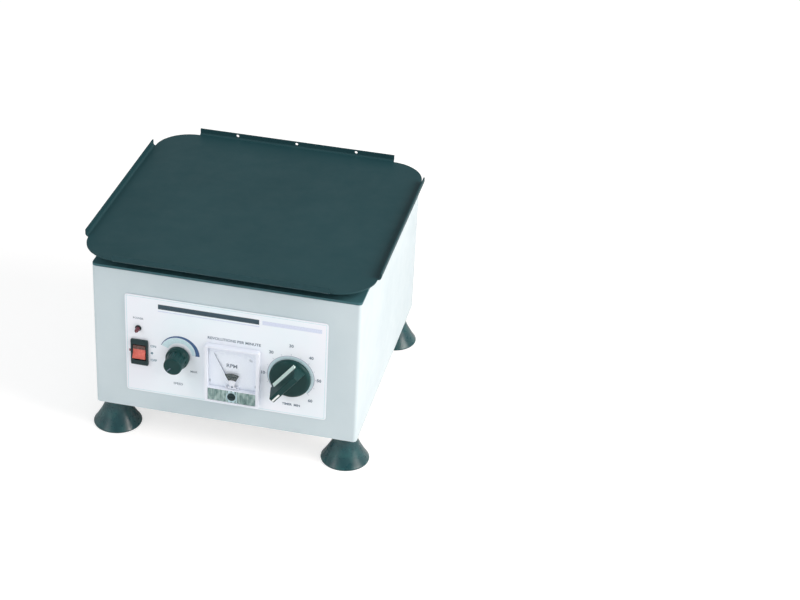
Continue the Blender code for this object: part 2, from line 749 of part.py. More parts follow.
def tray_surface():
    """The tray's upper surface: round corners, with each side bent up between them."""
    half_x = TRAY_WIDTH / 2 - TRAY_SHEET - TRAY_BEND
    half_y = TRAY_DEPTH / 2 - TRAY_SHEET - TRAY_BEND
    radius = TRAY_CORNER - TRAY_SHEET - TRAY_BEND
    bm = bmesh.new()
    outline = rounded(2 * half_x, 2 * half_y, [radius] * 4, steps=12)
    verts = [bm.verts.new((x, y, 0)) for x, y in outline]
    bm.faces.new(verts)
    bm.edges.ensure_lookup_table()
    sides = [edge for edge in bm.edges if edge.calc_length() > radius]
    bend_steps = 3
    for edge in sides:
        middle = (edge.verts[0].co + edge.verts[1].co) / 2
        outward = Vector((round(middle.x / half_x), round(middle.y / half_y), 0))
        moving = edge
        reached = Vector((0, 0, 0))
        for step in range(1, bend_steps + 1):
            angle = math.radians(90 * step / bend_steps)
            target = outward * (TRAY_BEND * math.sin(angle))
            target.z = TRAY_BEND * (1 - math.cos(angle))
            moving = extruded(bm, moving, target - reached)
            reached = target
        extruded(bm, moving, Vector((0, 0, TRAY_LIP - TRAY_BEND)))
    bmesh.ops.recalc_face_normals(bm, faces=bm.faces)
    largest = max(bm.faces, key=lambda face: face.calc_area())
    if largest.normal.z < 0:
        bmesh.ops.reverse_faces(bm, faces=bm.faces)
    return mesh_from(bm)


def extruded(bm, edge, shift):
    """Pull a strip of face out of an edge, and give the edge at its far side."""
    made = bmesh.ops.extrude_edge_only(bm, edges=[edge])["geom"]
    verts = [item for item in made if isinstance(item, bmesh.types.BMVert)]
    bmesh.ops.translate(bm, vec=shift, verts=verts)
    return next(item for item in made if isinstance(item, bmesh.types.BMEdge))


def make_tray():
    """The pressed tray, with three small holes in its rear side."""
    mesh = tray_surface()
    tray = place("tray", mesh, PLATFORM, DARK_PAINT, (0, 0, TRAY_TOP))
    wall = tray.modifiers.new("sheet", "SOLIDIFY")
    wall.thickness = TRAY_SHEET
    wall.offset = -1
    wall.use_even_offset = True
    hole_z = TRAY_TOP + TRAY_LIP - TRAY_HOLE_DROP
    rear = empty("tray_rear", (0, TRAY_DEPTH / 2, hole_z), TOWARDS_FRONT, PLATFORM)
    for index in (-1, 0, 1):
        name = f"tray_hole_{index + 2}"
        centre = (index * TRAY_HOLE_PITCH, 0)
        cut(tray, rod(name, TRAY_HOLE_RADIUS, -TRAY_SHEET, 3 * TRAY_SHEET, rear, centre=centre, steps=10))


def make_carrier():
    """The plate that the tray is screwed to, with a cup for each pin bearing."""
    loops = [rounded(CARRIER_WIDTH, CARRIER_DEPTH, [CARRIER_CORNER] * 4)]
    for _, x, y in four_corners(IDLER_X / 2, IDLER_Y / 2):
        loops.append(circle(LIGHTENING_RADIUS, (x, y), 12))
    carrier = solid_plate("tray_carrier", loops, CARRIER_UNDERSIDE, CARRIER_TOP, PLATFORM, ZINC_PLATE)
    inner = PIN_BEARING_RADIUS + SEAT_GAP
    cup = [
        (inner + CUP_WALL, CARRIER_UNDERSIDE + EMBED),
        (inner + CUP_WALL, PIN_BEARING_BOTTOM + EMBED),
        (inner, PIN_BEARING_BOTTOM + EMBED),
        (inner, CARRIER_UNDERSIDE + EMBED),
    ]
    centres = [("drive", 0, 0), *four_corners(IDLER_X, IDLER_Y)]
    for corner, x, y in centres:
        join(carrier, turned("cup_" + corner, cup, PLATFORM, None, (x, y, 0), ring=True, steps=SMALL_STEPS))
        make_ball_bearing(
            "pin_bearing_" + corner,
            PIN_BEARING_RADIUS,
            PIN_RADIUS + TURN_GAP,
            PIN_BEARING_BOTTOM,
            PIN_BEARING_TOP,
            PLATFORM,
            (x, y, 0),
        )


def make_ball_bearing(name, outer, inner, low, high, parent, at):
    """A shielded bearing: two races, with the shield sunk a little between them on top."""
    profile = [
        (outer - RACE_WALL, high),
        (outer, high),
        (outer, low),
        (inner, low),
        (inner, high),
        (inner + RACE_WALL, high),
        (inner + RACE_WALL, high - RACE_GROOVE),
        (outer - RACE_WALL, high - RACE_GROOVE),
    ]
    turned(name, profile, parent, STEEL, at, ring=True, steps=SMALL_STEPS)


def make_crank(name, parent, shaft_radius, shaft_bottom, web_radius):
    """A shaft, the web at its head and the eccentric pin, in one piece."""
    web_loop = stretched_round((0, 0), web_radius, (PIN_X, PIN_Y), PIN_RADIUS + 0.004)
    crank = solid_plate(name, [web_loop], WEB_BOTTOM, WEB_TOP, parent, STEEL)
    web_middle = (WEB_BOTTOM + WEB_TOP) / 2
    shaft = rod(name + "_shaft", shaft_radius, shaft_bottom, web_middle, parent)
    pin = rod(name + "_pin", PIN_RADIUS, web_middle, PIN_BEARING_TOP, parent, centre=(PIN_X, PIN_Y))
    join(crank, shaft, pin)


def make_drive():
    """The middle crank with its housing, bearings, counterweight and pulley."""
    shaft_bottom = PULLEY_BOTTOM - SHAFT_TAIL
    make_crank("drive_crank", DRIVE_AXIS, DRIVE_SHAFT_RADIUS, shaft_bottom, DRIVE_WEB_RADIUS)
    flange_top = DECK_BOTTOM
    flange_bottom = flange_top - HOUSING_FLANGE_HEIGHT
    seat = BALL_BEARING_RADIUS + SEAT_GAP
    upper_seat = SLEEVE_TOP - BALL_BEARING_HEIGHT - SEAT_GAP
    lower_seat = HOUSING_BOTTOM + BALL_BEARING_HEIGHT + SEAT_GAP
    housing = [
        (seat, SLEEVE_TOP),
        (HOUSING_SPIGOT_RADIUS, SLEEVE_TOP),
        (HOUSING_SPIGOT_RADIUS, flange_top),
        (HOUSING_FLANGE_RADIUS, flange_top),
        (HOUSING_FLANGE_RADIUS, flange_bottom),
        (HOUSING_BARREL_RADIUS, flange_bottom),
        (HOUSING_BARREL_RADIUS, HOUSING_BOTTOM),
        (seat, HOUSING_BOTTOM),
        (seat, lower_seat),
        (HOUSING_BORE_RADIUS, lower_seat),
        (HOUSING_BORE_RADIUS, upper_seat),
        (seat, upper_seat),
    ]
    turned("drive_bearing_housing", housing, DRIVE_AXIS, ALUMINIUM, ring=True)
    bore = DRIVE_SHAFT_RADIUS + TURN_GAP
    for place_name, low in (("upper", upper_seat + SEAT_GAP), ("lower", HOUSING_BOTTOM)):
        high = low + BALL_BEARING_HEIGHT
        name = "drive_bearing_" + place_name
        make_ball_bearing(name, BALL_BEARING_RADIUS, bore, low, high, DRIVE_AXIS, (0, 0, 0))
    make_counterweight(bore)
    make_drive_pulley(bore)


def make_counterweight(bore):
    """A half disc on the shaft, opposite the eccentric pin."""
    away = CRANK_REST_ANGLE + math.pi
    quarter = math.pi / 2
    outline = arc(COUNTERWEIGHT_RADIUS, away - quarter, away + quarter, ROUND_STEPS // 2)
    outline += arc(COUNTERWEIGHT_HUB_RADIUS, away + quarter, away + 3 * quarter, ROUND_STEPS // 4)
    plate(
        "counterweight",
        [outline, circle(bore)],
        COUNTERWEIGHT_BOTTOM,
        COUNTERWEIGHT_TOP,
        DRIVE_AXIS,
        STEEL,
    )


def make_drive_pulley(bore):
    """A flanged pulley with a thin web between its hub and its rim."""
    middle = (PULLEY_TOP + PULLEY_BOTTOM) / 2
    rim = DRIVE_PULLEY_RADIUS
    inner_rim = rim - PULLEY_RIM_WALL
    groove_low = PULLEY_BOTTOM + PULLEY_FLANGE_HEIGHT
    groove_high = PULLEY_TOP - PULLEY_FLANGE_HEIGHT
    flange = rim + 2 * BELT_THICKNESS
    hub = DRIVE_PULLEY_HUB_RADIUS
    web = DRIVE_PULLEY_WEB / 2
    profile = [
        (hub, PULLEY_TOP),
        (hub, middle + web),
        (inner_rim, middle + web),
        (inner_rim, PULLEY_TOP),
        (flange, PULLEY_TOP),
        (flange, groove_high),
        (rim, groove_high),
        (rim, groove_low),
        (flange, groove_low),
        (flange, PULLEY_BOTTOM),
        (inner_rim, PULLEY_BOTTOM),
        (inner_rim, middle - web),
        (hub, middle - web),
        (hub, PULLEY_BOTTOM),
        (bore, PULLEY_BOTTOM),
        (bore, PULLEY_TOP),
    ]
    turned("drive_pulley", profile, DRIVE_AXIS, ALUMINIUM, ring=True)


def make_idlers():
    """The four cranks that keep the tray level and square to the cabinet."""
    bottom = DECK_BOTTOM - IDLER_SLEEVE_DEPTH
    bore = IDLER_SHAFT_RADIUS + TURN_GAP
    flange_bottom = DECK_BOTTOM - IDLER_FLANGE_HEIGHT
    sleeve = [
        (bore, SLEEVE_TOP),
        (IDLER_SLEEVE_RADIUS, SLEEVE_TOP),
        (IDLER_SLEEVE_RADIUS, DECK_BOTTOM),
        (IDLER_FLANGE_RADIUS, DECK_BOTTOM),
        (IDLER_FLANGE_RADIUS, flange_bottom),
        (IDLER_SLEEVE_RADIUS, flange_bottom),
        (IDLER_SLEEVE_RADIUS, bottom),
        (bore, bottom),
    ]
    for corner, x, y in four_corners(IDLER_X, IDLER_Y):
        axis = empty("idler_axis_" + corner, (x, y, 0), parent=DRIVE_AXIS)
        turned("idler_bearing_" + corner, sleeve, axis, ALUMINIUM, ring=True, steps=SMALL_STEPS)
        make_crank("idler_crank_" + corner, axis, IDLER_SHAFT_RADIUS, bottom - SHAFT_TAIL, IDLER_WEB_RADIUS)


def make_motor():
    """The motor under its bridge, with its pulley in line with the drive pulley."""
    body = MOTOR_RADIUS
    bottom = MOTOR_BOTTOM
    bore = MOTOR_SHAFT_RADIUS + TURN_GAP
    boss_top = MOTOR_TOP + MOTOR_BOSS_HEIGHT
    waist = body - MOTOR_WAIST
    profile = [
        (0, boss_top),
        (MOTOR_BOSS_RADIUS, boss_top),
        (MOTOR_BOSS_RADIUS, MOTOR_TOP),
        (body, MOTOR_TOP),
        (body, MOTOR_TOP - MOTOR_END_HEIGHT),
        (waist, MOTOR_TOP - MOTOR_END_HEIGHT - MOTOR_WAIST),
        (waist, bottom + MOTOR_END_HEIGHT + MOTOR_WAIST),
        (body, bottom + MOTOR_END_HEIGHT),
        (body, bottom + 2 * MOTOR_WAIST),
        (body - 2 * MOTOR_WAIST, bottom),
        (0, bottom),
    ]
    motor = turned("motor", profile, MOTOR_AXIS, STEEL)
    cut(motor, rod("motor_bore", bore, MOTOR_TOP - MOTOR_SHAFT_SINK, boss_top + PAST, MOTOR_AXIS))
    shaft_low = MOTOR_TOP - MOTOR_SHAFT_SINK + SEAT_GAP
    rod("motor_shaft", MOTOR_SHAFT_RADIUS, shaft_low, PULLEY_TOP + SHAFT_TAIL / 2, MOTOR_AXIS, STEEL)
    make_motor_bracket()
    make_motor_pulley(bore)
    make_belt()


def make_motor_bracket():
    """A bridge of folded strip that stands on the base and carries the motor's face."""
    inner = MOTOR_RADIUS + BRACKET_CLEARANCE
    outer = inner + BRACKET_THICKNESS
    foot = outer + BRACKET_FOOT
    bottom = BASE_TOP + SEAT_GAP
    step = bottom + BRACKET_THICKNESS
    under = BRACKET_TOP - BRACKET_THICKNESS
    outside = [(outer, BRACKET_TOP), (outer, step), (foot, step), (foot, bottom)]
    half = [*outside, (inner, bottom), (inner, under)]
    loop = half + [(-x, z) for x, z in reversed(half)]
    upright = empty("bracket_plane", (0, 0, 0), TOWARDS_FRONT, MOTOR_AXIS)
    bracket = solid_plate("motor_bracket", [loop], -BRACKET_DEPTH / 2, BRACKET_DEPTH / 2, upright, ZINC_PLATE)
    radius = MOTOR_BOSS_RADIUS + SEAT_GAP
    cut(bracket, rod("bracket_hole", radius, under - PAST, BRACKET_TOP + PAST, MOTOR_AXIS, steps=ROUND_STEPS))


def make_motor_pulley(bore):
    rim = MOTOR_PULLEY_RADIUS
    flange = rim + 2 * BELT_THICKNESS
    groove_low = PULLEY_BOTTOM + PULLEY_FLANGE_HEIGHT
    groove_high = PULLEY_TOP - PULLEY_FLANGE_HEIGHT
    profile = [
        (bore, PULLEY_TOP),
        (flange, PULLEY_TOP),
        (flange, groove_high),
        (rim, groove_high),
        (rim, groove_low),
        (flange, groove_low),
        (flange, PULLEY_BOTTOM),
        (bore, PULLEY_BOTTOM),
    ]
    turned("motor_pulley", profile, MOTOR_AXIS, ALUMINIUM, ring=True, steps=SMALL_STEPS)


def make_belt():
    """A flat belt pulled round both pulleys, between their flanges."""
    motor = (MOTOR_X, MOTOR_Y)
    drive = (0, DRIVE_Y)
    inner = (DRIVE_PULLEY_RADIUS + TURN_GAP, MOTOR_PULLEY_RADIUS + TURN_GAP)
    outer = (inner[0] + BELT_THICKNESS, inner[1] + BELT_THICKNESS)
    steps = 2 * ROUND_STEPS
    loops = [
        stretched_round(drive, outer[0], motor, outer[1], steps),
        stretched_round(drive, inner[0], motor, inner[1], steps),
    ]
    low = PULLEY_BOTTOM + PULLEY_FLANGE_HEIGHT + BELT_SIDE_GAP
    high = PULLEY_TOP - PULLEY_FLANGE_HEIGHT - BELT_SIDE_GAP
    plate("drive_belt", loops, low, high, CABINET, BELT_RUBBER)


def make_control_panel():
    """The printed plate that the controls come through."""
    width = PANEL_RIGHT - PANEL_LEFT
    height = PANEL_TOP - PANEL_BOTTOM
    centre = front_control("panel_place", (PANEL_RIGHT + PANEL_LEFT) / 2, (PANEL_TOP + PANEL_BOTTOM) / 2)
    outline = rounded(width, height, [PANEL_CORNER] * 4)
    panel = solid_plate("control_panel", [outline], PANEL_BACK, PANEL_FRONT, centre, PRINTED_PLATE)
    cut(panel, *front_wall_cutters("panel", -WALL, WALL + PANEL_FRONT))


def make_lamp():
    """A small red lens held in a thin ring."""
    lens = [
        (0, PANEL_FRONT + LAMP_LENGTH),
        (LAMP_RADIUS * 0.55, PANEL_FRONT + LAMP_LENGTH * 0.93),
        (LAMP_RADIUS * 0.9, PANEL_FRONT + LAMP_LENGTH * 0.75),
        (LAMP_RADIUS, PANEL_FRONT + LAMP_LENGTH * 0.5),
        (LAMP_RADIUS, -LAMP_DEPTH),
        (0, -LAMP_DEPTH),
    ]
    turned("lamp_lens", lens, LAMP, RED_LENS, steps=SMALL_STEPS)
    low = PANEL_FRONT + SEAT_GAP
    high = low + LAMP_BEZEL_HEIGHT
    inner = LAMP_RADIUS + SEAT_GAP
    bezel = [
        (inner, high),
        (LAMP_BEZEL_RADIUS - 0.0006, high),
        (LAMP_BEZEL_RADIUS, high - 0.0006),
        (LAMP_BEZEL_RADIUS, low),
        (inner, low),
    ]
    turned("lamp_bezel", bezel, LAMP, BLACK_PLASTIC, ring=True, steps=SMALL_STEPS)


def make_switch():
    """The rocker switch: a snap-in frame and the rocker that tips in it."""
    low = PANEL_FRONT + SEAT_GAP
    high = low + SWITCH_BEZEL_HEIGHT
    frame_loop = rounded(SWITCH_WIDTH, SWITCH_HEIGHT, [SWITCH_FRAME_CORNER] * 4, steps=3)
    frame = solid_plate("switch_frame", [frame_loop], low, high, SWITCH, BLACK_PLASTIC)
    bevel(frame, 0.0006, 1, 60)
    body_x = SWITCH_WIDTH / 2 - SWITCH_BODY_INSET
    body_y = SWITCH_HEIGHT / 2 - SWITCH_BODY_INSET
    body = block("switch_body", (-body_x, -body_y, -SWITCH_BODY_DEPTH), (body_x, body_y, low + EMBED), SWITCH)
    well_x = ROCKER_WIDTH / 2 + 2 * TURN_GAP
    well_y = ROCKER_LENGTH / 2 + 2 * TURN_GAP
    pivot = high - ROCKER_PIN_DROP
    well_bottom = pivot - ROCKER_DEPTH * 1.5
    well = block("switch_well", (-well_x, -well_y, well_bottom), (well_x, well_y, high + PAST), SWITCH)
    half_pin = ROCKER_WIDTH / 2 + ROCKER_PIN_PROUD
    hole_end = half_pin + TURN_GAP
    pin = empty("rocker_pin_axis", (0, 0, pivot), (0, math.radians(90), 0), SWITCH)
    hole = rod("rocker_pin_hole", ROCKER_PIN_RADIUS + TURN_GAP, -hole_end, hole_end, pin)
    join(frame, body)
    cut(frame, well, hole)
    make_rocker(pivot, half_pin)


def make_rocker(pivot, half_pin):
    """A rocker with round ends about its pin, a shallow V on top, at rest with its upper half in."""
    axis = empty("rocker_axis", (0, 0, pivot), (-ROCKER_TILT, 0, 0), SWITCH)
    side = empty("rocker_side", (0, 0, 0), (math.radians(90), 0, math.radians(90)), axis)
    reach = ROCKER_LENGTH / 2
    rise = ROCKER_PIN_DROP
    end_rise = rise + reach * math.sin(ROCKER_TILT)
    lip_angle = math.asin(end_rise / math.hypot(reach, end_rise))
    lip = reach * math.cos(lip_angle)
    steps = 4
    right = []
    for step in range(steps + 1):
        angle = lip_angle - (lip_angle + math.radians(12)) * step / steps
        right.append((reach * math.cos(angle), reach * math.sin(angle)))
    right[0] = (lip, end_rise)
    keel = (0.0, -ROCKER_DEPTH)
    left = [(-x, z) for x, z in reversed(right)]
    loop = [(0, rise), *left[::-1], keel, *right[::-1]]
    rocker = solid_plate("switch_rocker", [loop], -ROCKER_WIDTH / 2, ROCKER_WIDTH / 2, side, RED_PLASTIC)
    across = empty("rocker_across", (0, 0, 0), (0, math.radians(90), 0), axis)
    join(rocker, rod("rocker_pin", ROCKER_PIN_RADIUS, -half_pin, half_pin, across))


def spindle_control(place_at, name, body_profile, spindle_name):
    """The bushed body of a turning control behind the wall, and its spindle."""
    body = turned(name, body_profile, place_at, STEEL)
    return finish_spindle(place_at, name, body, spindle_name)


def finish_spindle(place_at, name, body, spindle_name):
    bush_top = PANEL_FRONT + BUSH_PROUD
    bore_low = -WALL - SPINDLE_SINK
    bush = rod(name + "_bush", BUSH_RADIUS, -WALL - SPINDLE_SINK / 2, bush_top, place_at)
    join(body, bush)
    cut(body, rod(name + "_bore", SPINDLE_RADIUS + TURN_GAP, bore_low, bush_top + PAST, place_at))
    spindle_top = KNOB_BASE + KNOB_BORE_DEPTH - SEAT_GAP
    rod(spindle_name, SPINDLE_RADIUS, bore_low + SEAT_GAP, spindle_top, place_at, STEEL)


def make_speed_control():
    """The potentiometer and its two-step knob."""
    top = -WALL - SEAT_GAP
    bottom = top - POT_HEIGHT
    rounding = 0.001
    can = [
        (0, top),
        (POT_RADIUS, top),
        (POT_RADIUS, bottom + rounding),
        (POT_RADIUS - rounding, bottom),
        (0, bottom),
    ]
    spindle_control(SPEED, "speed_potentiometer", can, "speed_spindle")
    base = KNOB_BASE
    skirt_top = base + SPEED_SKIRT_HEIGHT
    cap_top = skirt_top + SPEED_CAP_HEIGHT
    knob_profile = [
        (0, cap_top),
        (SPEED_CAP_TOP_RADIUS - 0.0016, cap_top),
        (SPEED_CAP_TOP_RADIUS - 0.0005, cap_top - 0.0005),
        (SPEED_CAP_TOP_RADIUS, cap_top - 0.0016),
        (SPEED_CAP_RADIUS, skirt_top),
        (SPEED_SKIRT_RADIUS - 0.0010, skirt_top - 0.0006),
        (SPEED_SKIRT_RADIUS, skirt_top - 0.0020),
        (SPEED_SKIRT_RADIUS, base),
        (0, base),
    ]
    turn = empty("speed_axis", (0, 0, 0), (0, 0, SPEED_REST_ANGLE), SPEED)
    knob = turned("speed_knob", knob_profile, turn, BLACK_PLASTIC)
    for index in range(SPEED_FLUTE_COUNT):
        angle = 2 * math.pi * (index + 0.5) / SPEED_FLUTE_COUNT + math.pi / 2
        reach = SPEED_CAP_RADIUS + SPEED_FLUTE_RADIUS * 0.55
        centre = (reach * math.cos(angle), reach * math.sin(angle))
        low = skirt_top + 0.0006
        name = f"flute_{index + 1}"
        cut(knob, rod(name, SPEED_FLUTE_RADIUS, low, cap_top + PAST, turn, centre=centre, steps=6))
    knob_bore(knob, "speed_bore", turn)
    half = SPEED_LINE_WIDTH / 2
    line_low = (-half, SPINDLE_RADIUS, cap_top - SPEED_LINE_DEPTH)
    line_high = (half, SPEED_SKIRT_RADIUS, cap_top + PAST)
    cut(knob, block("speed_line", line_low, line_high, turn))


def knob_bore(knob, name, turn):
    low = KNOB_BASE - PAST
    cut(knob, rod(name, SPINDLE_RADIUS + SEAT_GAP, low, KNOB_BASE + KNOB_BORE_DEPTH, turn))


def make_timer():
    """The clockwork timer and its knob: a disc with a tall tapered grip that points at the dial."""
    top = -WALL - SEAT_GAP
    half = TIMER_BODY_SIZE / 2
    body = block("timer_body", (-half, -half, top - TIMER_BODY_DEPTH), (half, half, top), TIMER, ZINC_PLATE)
    bevel(body, 0.0015, 1)
    finish_spindle(TIMER, "timer_body", body, "timer_spindle")
    turn = empty("timer_axis", (0, 0, 0), (0, 0, TIMER_REST_ANGLE), TIMER)
    base = KNOB_BASE
    disc_top = base + TIMER_DISC_HEIGHT
    disc = [
        (0, disc_top),
        (TIMER_DISC_RADIUS - 0.0035, disc_top),
        (TIMER_DISC_RADIUS - 0.0012, disc_top - 0.0007),
        (TIMER_DISC_RADIUS, disc_top - 0.0022),
        (TIMER_DISC_RADIUS, base),
        (0, base),
    ]
    knob = turned("timer_knob", disc, turn, BLACK_PLASTIC, steps=FINE_STEPS)
    join(knob, timer_grip(turn, base + TIMER_DISC_HEIGHT / 2, base + TIMER_GRIP_HEIGHT))
    knob_bore(knob, "timer_bore", turn)


def timer_grip(turn, low, high):
    """The grip: a bar that narrows towards its top, with a square nose at the rim."""
    middle = (TIMER_GRIP_NOSE - TIMER_GRIP_TAIL) / 2
    length = TIMER_GRIP_NOSE + TIMER_GRIP_TAIL
    bm = bmesh.new()
    bmesh.ops.create_cube(bm, size=1)
    for vert in bm.verts:
        above = vert.co.z > 0
        half_width = TIMER_GRIP_TOP if above else TIMER_GRIP_FOOT
        half_length = length / 2 - (0.0015 if above else 0)
        vert.co.x = math.copysign(half_width, vert.co.x)
        vert.co.y = middle + math.copysign(half_length, vert.co.y)
        vert.co.z = high if above else low
    grip = place("timer_grip", mesh_from(bm), turn, None)
    return bevel(grip, 0.0012, 2)


def make_meter():
    """The panel meter: case, dial, pivot bridge, needle, window, ribbed cover and zero screw."""
    back = PANEL_FRONT + SEAT_GAP
    front = back + METER_DEPTH
    bottom = METER_BOTTOM - METER_PIVOT_Z
    top = bottom + METER_HEIGHT
    band_low = bottom + METER_SILL
    band_top = band_low + METER_BAND
    outline = rounded(METER_WIDTH, METER_HEIGHT, [METER_CORNER] * 4, (0, (top + bottom) / 2), steps=3)
    case = solid_plate("meter_case", [outline], back, front, METER, WHITE_PLASTIC)
    can = meter_can_rod("meter_can", METER_CAN_RADIUS, -METER_CAN_DEPTH, back + EMBED)
    floor = back + METER_FLOOR
    chamber_half = METER_WIDTH / 2 - METER_SIDE
    chamber_low = band_top + METER_WALL / 2
    chamber_high = top - METER_WALL
    chamber = block(
        "meter_chamber",
        (-chamber_half, chamber_low, floor),
        (chamber_half, chamber_high, front + PAST),
        METER,
    )
    step = back + METER_BAND_STEP
    shelf = block(
        "meter_shelf",
        (-chamber_half, band_low, step),
        (chamber_half, band_top, front + PAST),
        METER,
    )
    pivot_hole_radius = NEEDLE_PIN_RADIUS + TURN_GAP
    pivot_hole = rod("meter_pivot_hole", pivot_hole_radius, back + 0.0002, floor + PAST, METER, steps=12)
    screw_y = (band_low + band_top) / 2
    screw_hole_radius = ZERO_SCREW_SHANK + TURN_GAP
    screw_at = (0, screw_y)
    screw_hole = rod("case_screw_hole", screw_hole_radius, back + EMBED, step + PAST, METER, centre=screw_at)
    join(case, can)
    cut(case, chamber, shelf, pivot_hole, screw_hole)
    make_meter_dial(floor, chamber_half, chamber_low, chamber_high, pivot_hole_radius)
    make_needle(floor, back)
    window_low = front - METER_WINDOW_THICKNESS
    gap = SEAT_GAP
    block(
        "meter_window",
        (-chamber_half + gap, chamber_low + gap, window_low),
        (chamber_half - gap, chamber_high - gap, front),
        METER,
        CLEAR_PLASTIC,
    )
    make_meter_cover(step + gap, front, band_low + gap, band_top - gap, chamber_half - gap, screw_y)


def make_meter_dial(floor, half, low, high, hole_radius):
    gap = SEAT_GAP
    bottom = floor + gap
    top = bottom + METER_DIAL_THICKNESS
    card = rounded(2 * (half - gap), high - low - 2 * gap, [0, 0, 0, 0], (0, (low + high) / 2))
    plate("meter_dial", [card, circle(hole_radius, steps=12)], bottom, top, METER, DIAL_CARD)
    needle_top = top + NEEDLE_LIFT + NEEDLE_THICKNESS
    bridge_low = needle_top + 2 * TURN_GAP
    shield_top = bridge_low + METER_SHIELD_THICKNESS
    crescent_low = bridge_low + METER_SHIELD_THICKNESS / 2
    crescent_top = bridge_low + METER_BRIDGE_THICKNESS
    upright = math.pi / 2
    start = upright - METER_BRIDGE_SPREAD
    stop = upright + METER_BRIDGE_SPREAD
    crescent = arc(METER_BRIDGE_OUTER, start, stop, 8) + arc(METER_BRIDGE_INNER, stop, start, 6)
    bridge = solid_plate("meter_bridge", [crescent], crescent_low, crescent_top, METER, BLACK_PLASTIC)
    foot = METER_BRIDGE_HALF_FOOT
    drop = -METER_BRIDGE_FOOT_DROP
    neck = METER_SHIELD_HALF_NECK
    lean = METER_BRIDGE_SPREAD * 0.9
    head = arc((METER_BRIDGE_OUTER + METER_BRIDGE_INNER) / 2, upright - lean, upright + lean, 6)
    shield_loop = [(-foot, drop), (foot, drop), (foot, 0), (neck, 0), *head, (-neck, 0), (-foot, 0)]
    join(bridge, solid_plate("meter_shield", [shield_loop], bridge_low, shield_top, METER))
    for name, outer_x in (("left", -foot), ("right", foot)):
        inner_x = math.copysign(foot - METER_BRIDGE_LEG, outer_x)
        leg_low = (min(outer_x, inner_x) + EMBED / 4, drop + EMBED / 4, top + gap)
        leg_high = (max(outer_x, inner_x) - EMBED / 4, -EMBED / 4, bridge_low + METER_SHIELD_THICKNESS / 2)
        join(bridge, block("bridge_leg_" + name, leg_low, leg_high, METER))


def make_needle(floor, back):
    """A thin blade on a small hub, with the pin that it turns on."""
    low = floor + SEAT_GAP + METER_DIAL_THICKNESS + NEEDLE_LIFT
    high = low + NEEDLE_THICKNESS
    axis = empty("needle_axis", (0, 0, 0), (0, 0, NEEDLE_REST_ANGLE), METER)
    half = NEEDLE_WIDTH / 2
    hub = NEEDLE_HUB_RADIUS
    blade = [(0, -half * 1.6), (NEEDLE_LENGTH, -half * 0.4), (NEEDLE_LENGTH, half * 0.4), (0, half * 1.6)]
    needle = solid_plate("meter_needle", [blade], low, high, axis, BLACK_PLASTIC)
    hub_low = floor + SEAT_GAP + METER_DIAL_THICKNESS + SEAT_GAP
    pin = rod("needle_pin", NEEDLE_PIN_RADIUS, back + 0.0006, hub_low + EMBED / 2, axis, steps=12)
    boss = rod("needle_hub", hub, hub_low, high + 0.0001, axis, steps=12)
    join(needle, boss, pin)


def make_meter_cover(low, high, bottom, top, half, screw_y):
    """The opaque strip under the window: upright ribs, with the zero screw in its middle."""
    ribs = int(2 * half / METER_RIB_PITCH)
    start = -ribs * METER_RIB_PITCH / 2
    root = high - METER_RIB_DEPTH
    loop = [(-half, low), (-half, root)]
    for index in range(ribs):
        left = start + index * METER_RIB_PITCH
        heights = (root, high, high, root)
        loop.extend((left + end * METER_RIB_PITCH, height) for end, height in zip(METER_RIB_SHARES, heights))
    loop.extend([(half, root), (half, low)])
    loop.reverse()
    lying = empty("cover_plane", (0, 0, 0), (math.radians(90), 0, 0), METER)
    cover = solid_plate("meter_cover", [loop], -top, -bottom, lying, BAND_PLASTIC)
    land_radius = ZERO_SCREW_RADIUS + 0.0016
    land = rod("screw_land", land_radius, root + 0.0001, high + PAST, METER, centre=(0, screw_y))
    hole = rod("screw_hole", ZERO_SCREW_SHANK + TURN_GAP, low - PAST, high, METER, centre=(0, screw_y))
    cut(cover, land, hole)
    axis = empty("zero_screw_axis", (0, screw_y, 0), parent=METER)
    head_low = root + 0.0001 + SEAT_GAP
    head_top = head_low + ZERO_SCREW_HEIGHT
    shank_low = low - SEAT_GAP - METER_BAND_STEP * 0.5
    profile = [
        (0, head_top),
        (ZERO_SCREW_RADIUS - 0.0004, head_top),
        (ZERO_SCREW_RADIUS, head_top - 0.0004),
        (ZERO_SCREW_RADIUS, head_low),
        (ZERO_SCREW_SHANK, head_low),
        (ZERO_SCREW_SHANK, shank_low),
        (0, shank_low),
    ]
    screw = turned("meter_zero_screw", profile, axis, BLACK_PLASTIC, steps=SMALL_STEPS)
    slot_half = ZERO_SCREW_SLOT / 2
    slot_low = head_top - ZERO_SCREW_HEIGHT * 0.6
    reach = ZERO_SCREW_RADIUS * 1.2
    cut(screw, block("zero_slot", (-reach, -slot_half, slot_low), (reach, slot_half, head_top + PAST), axis))


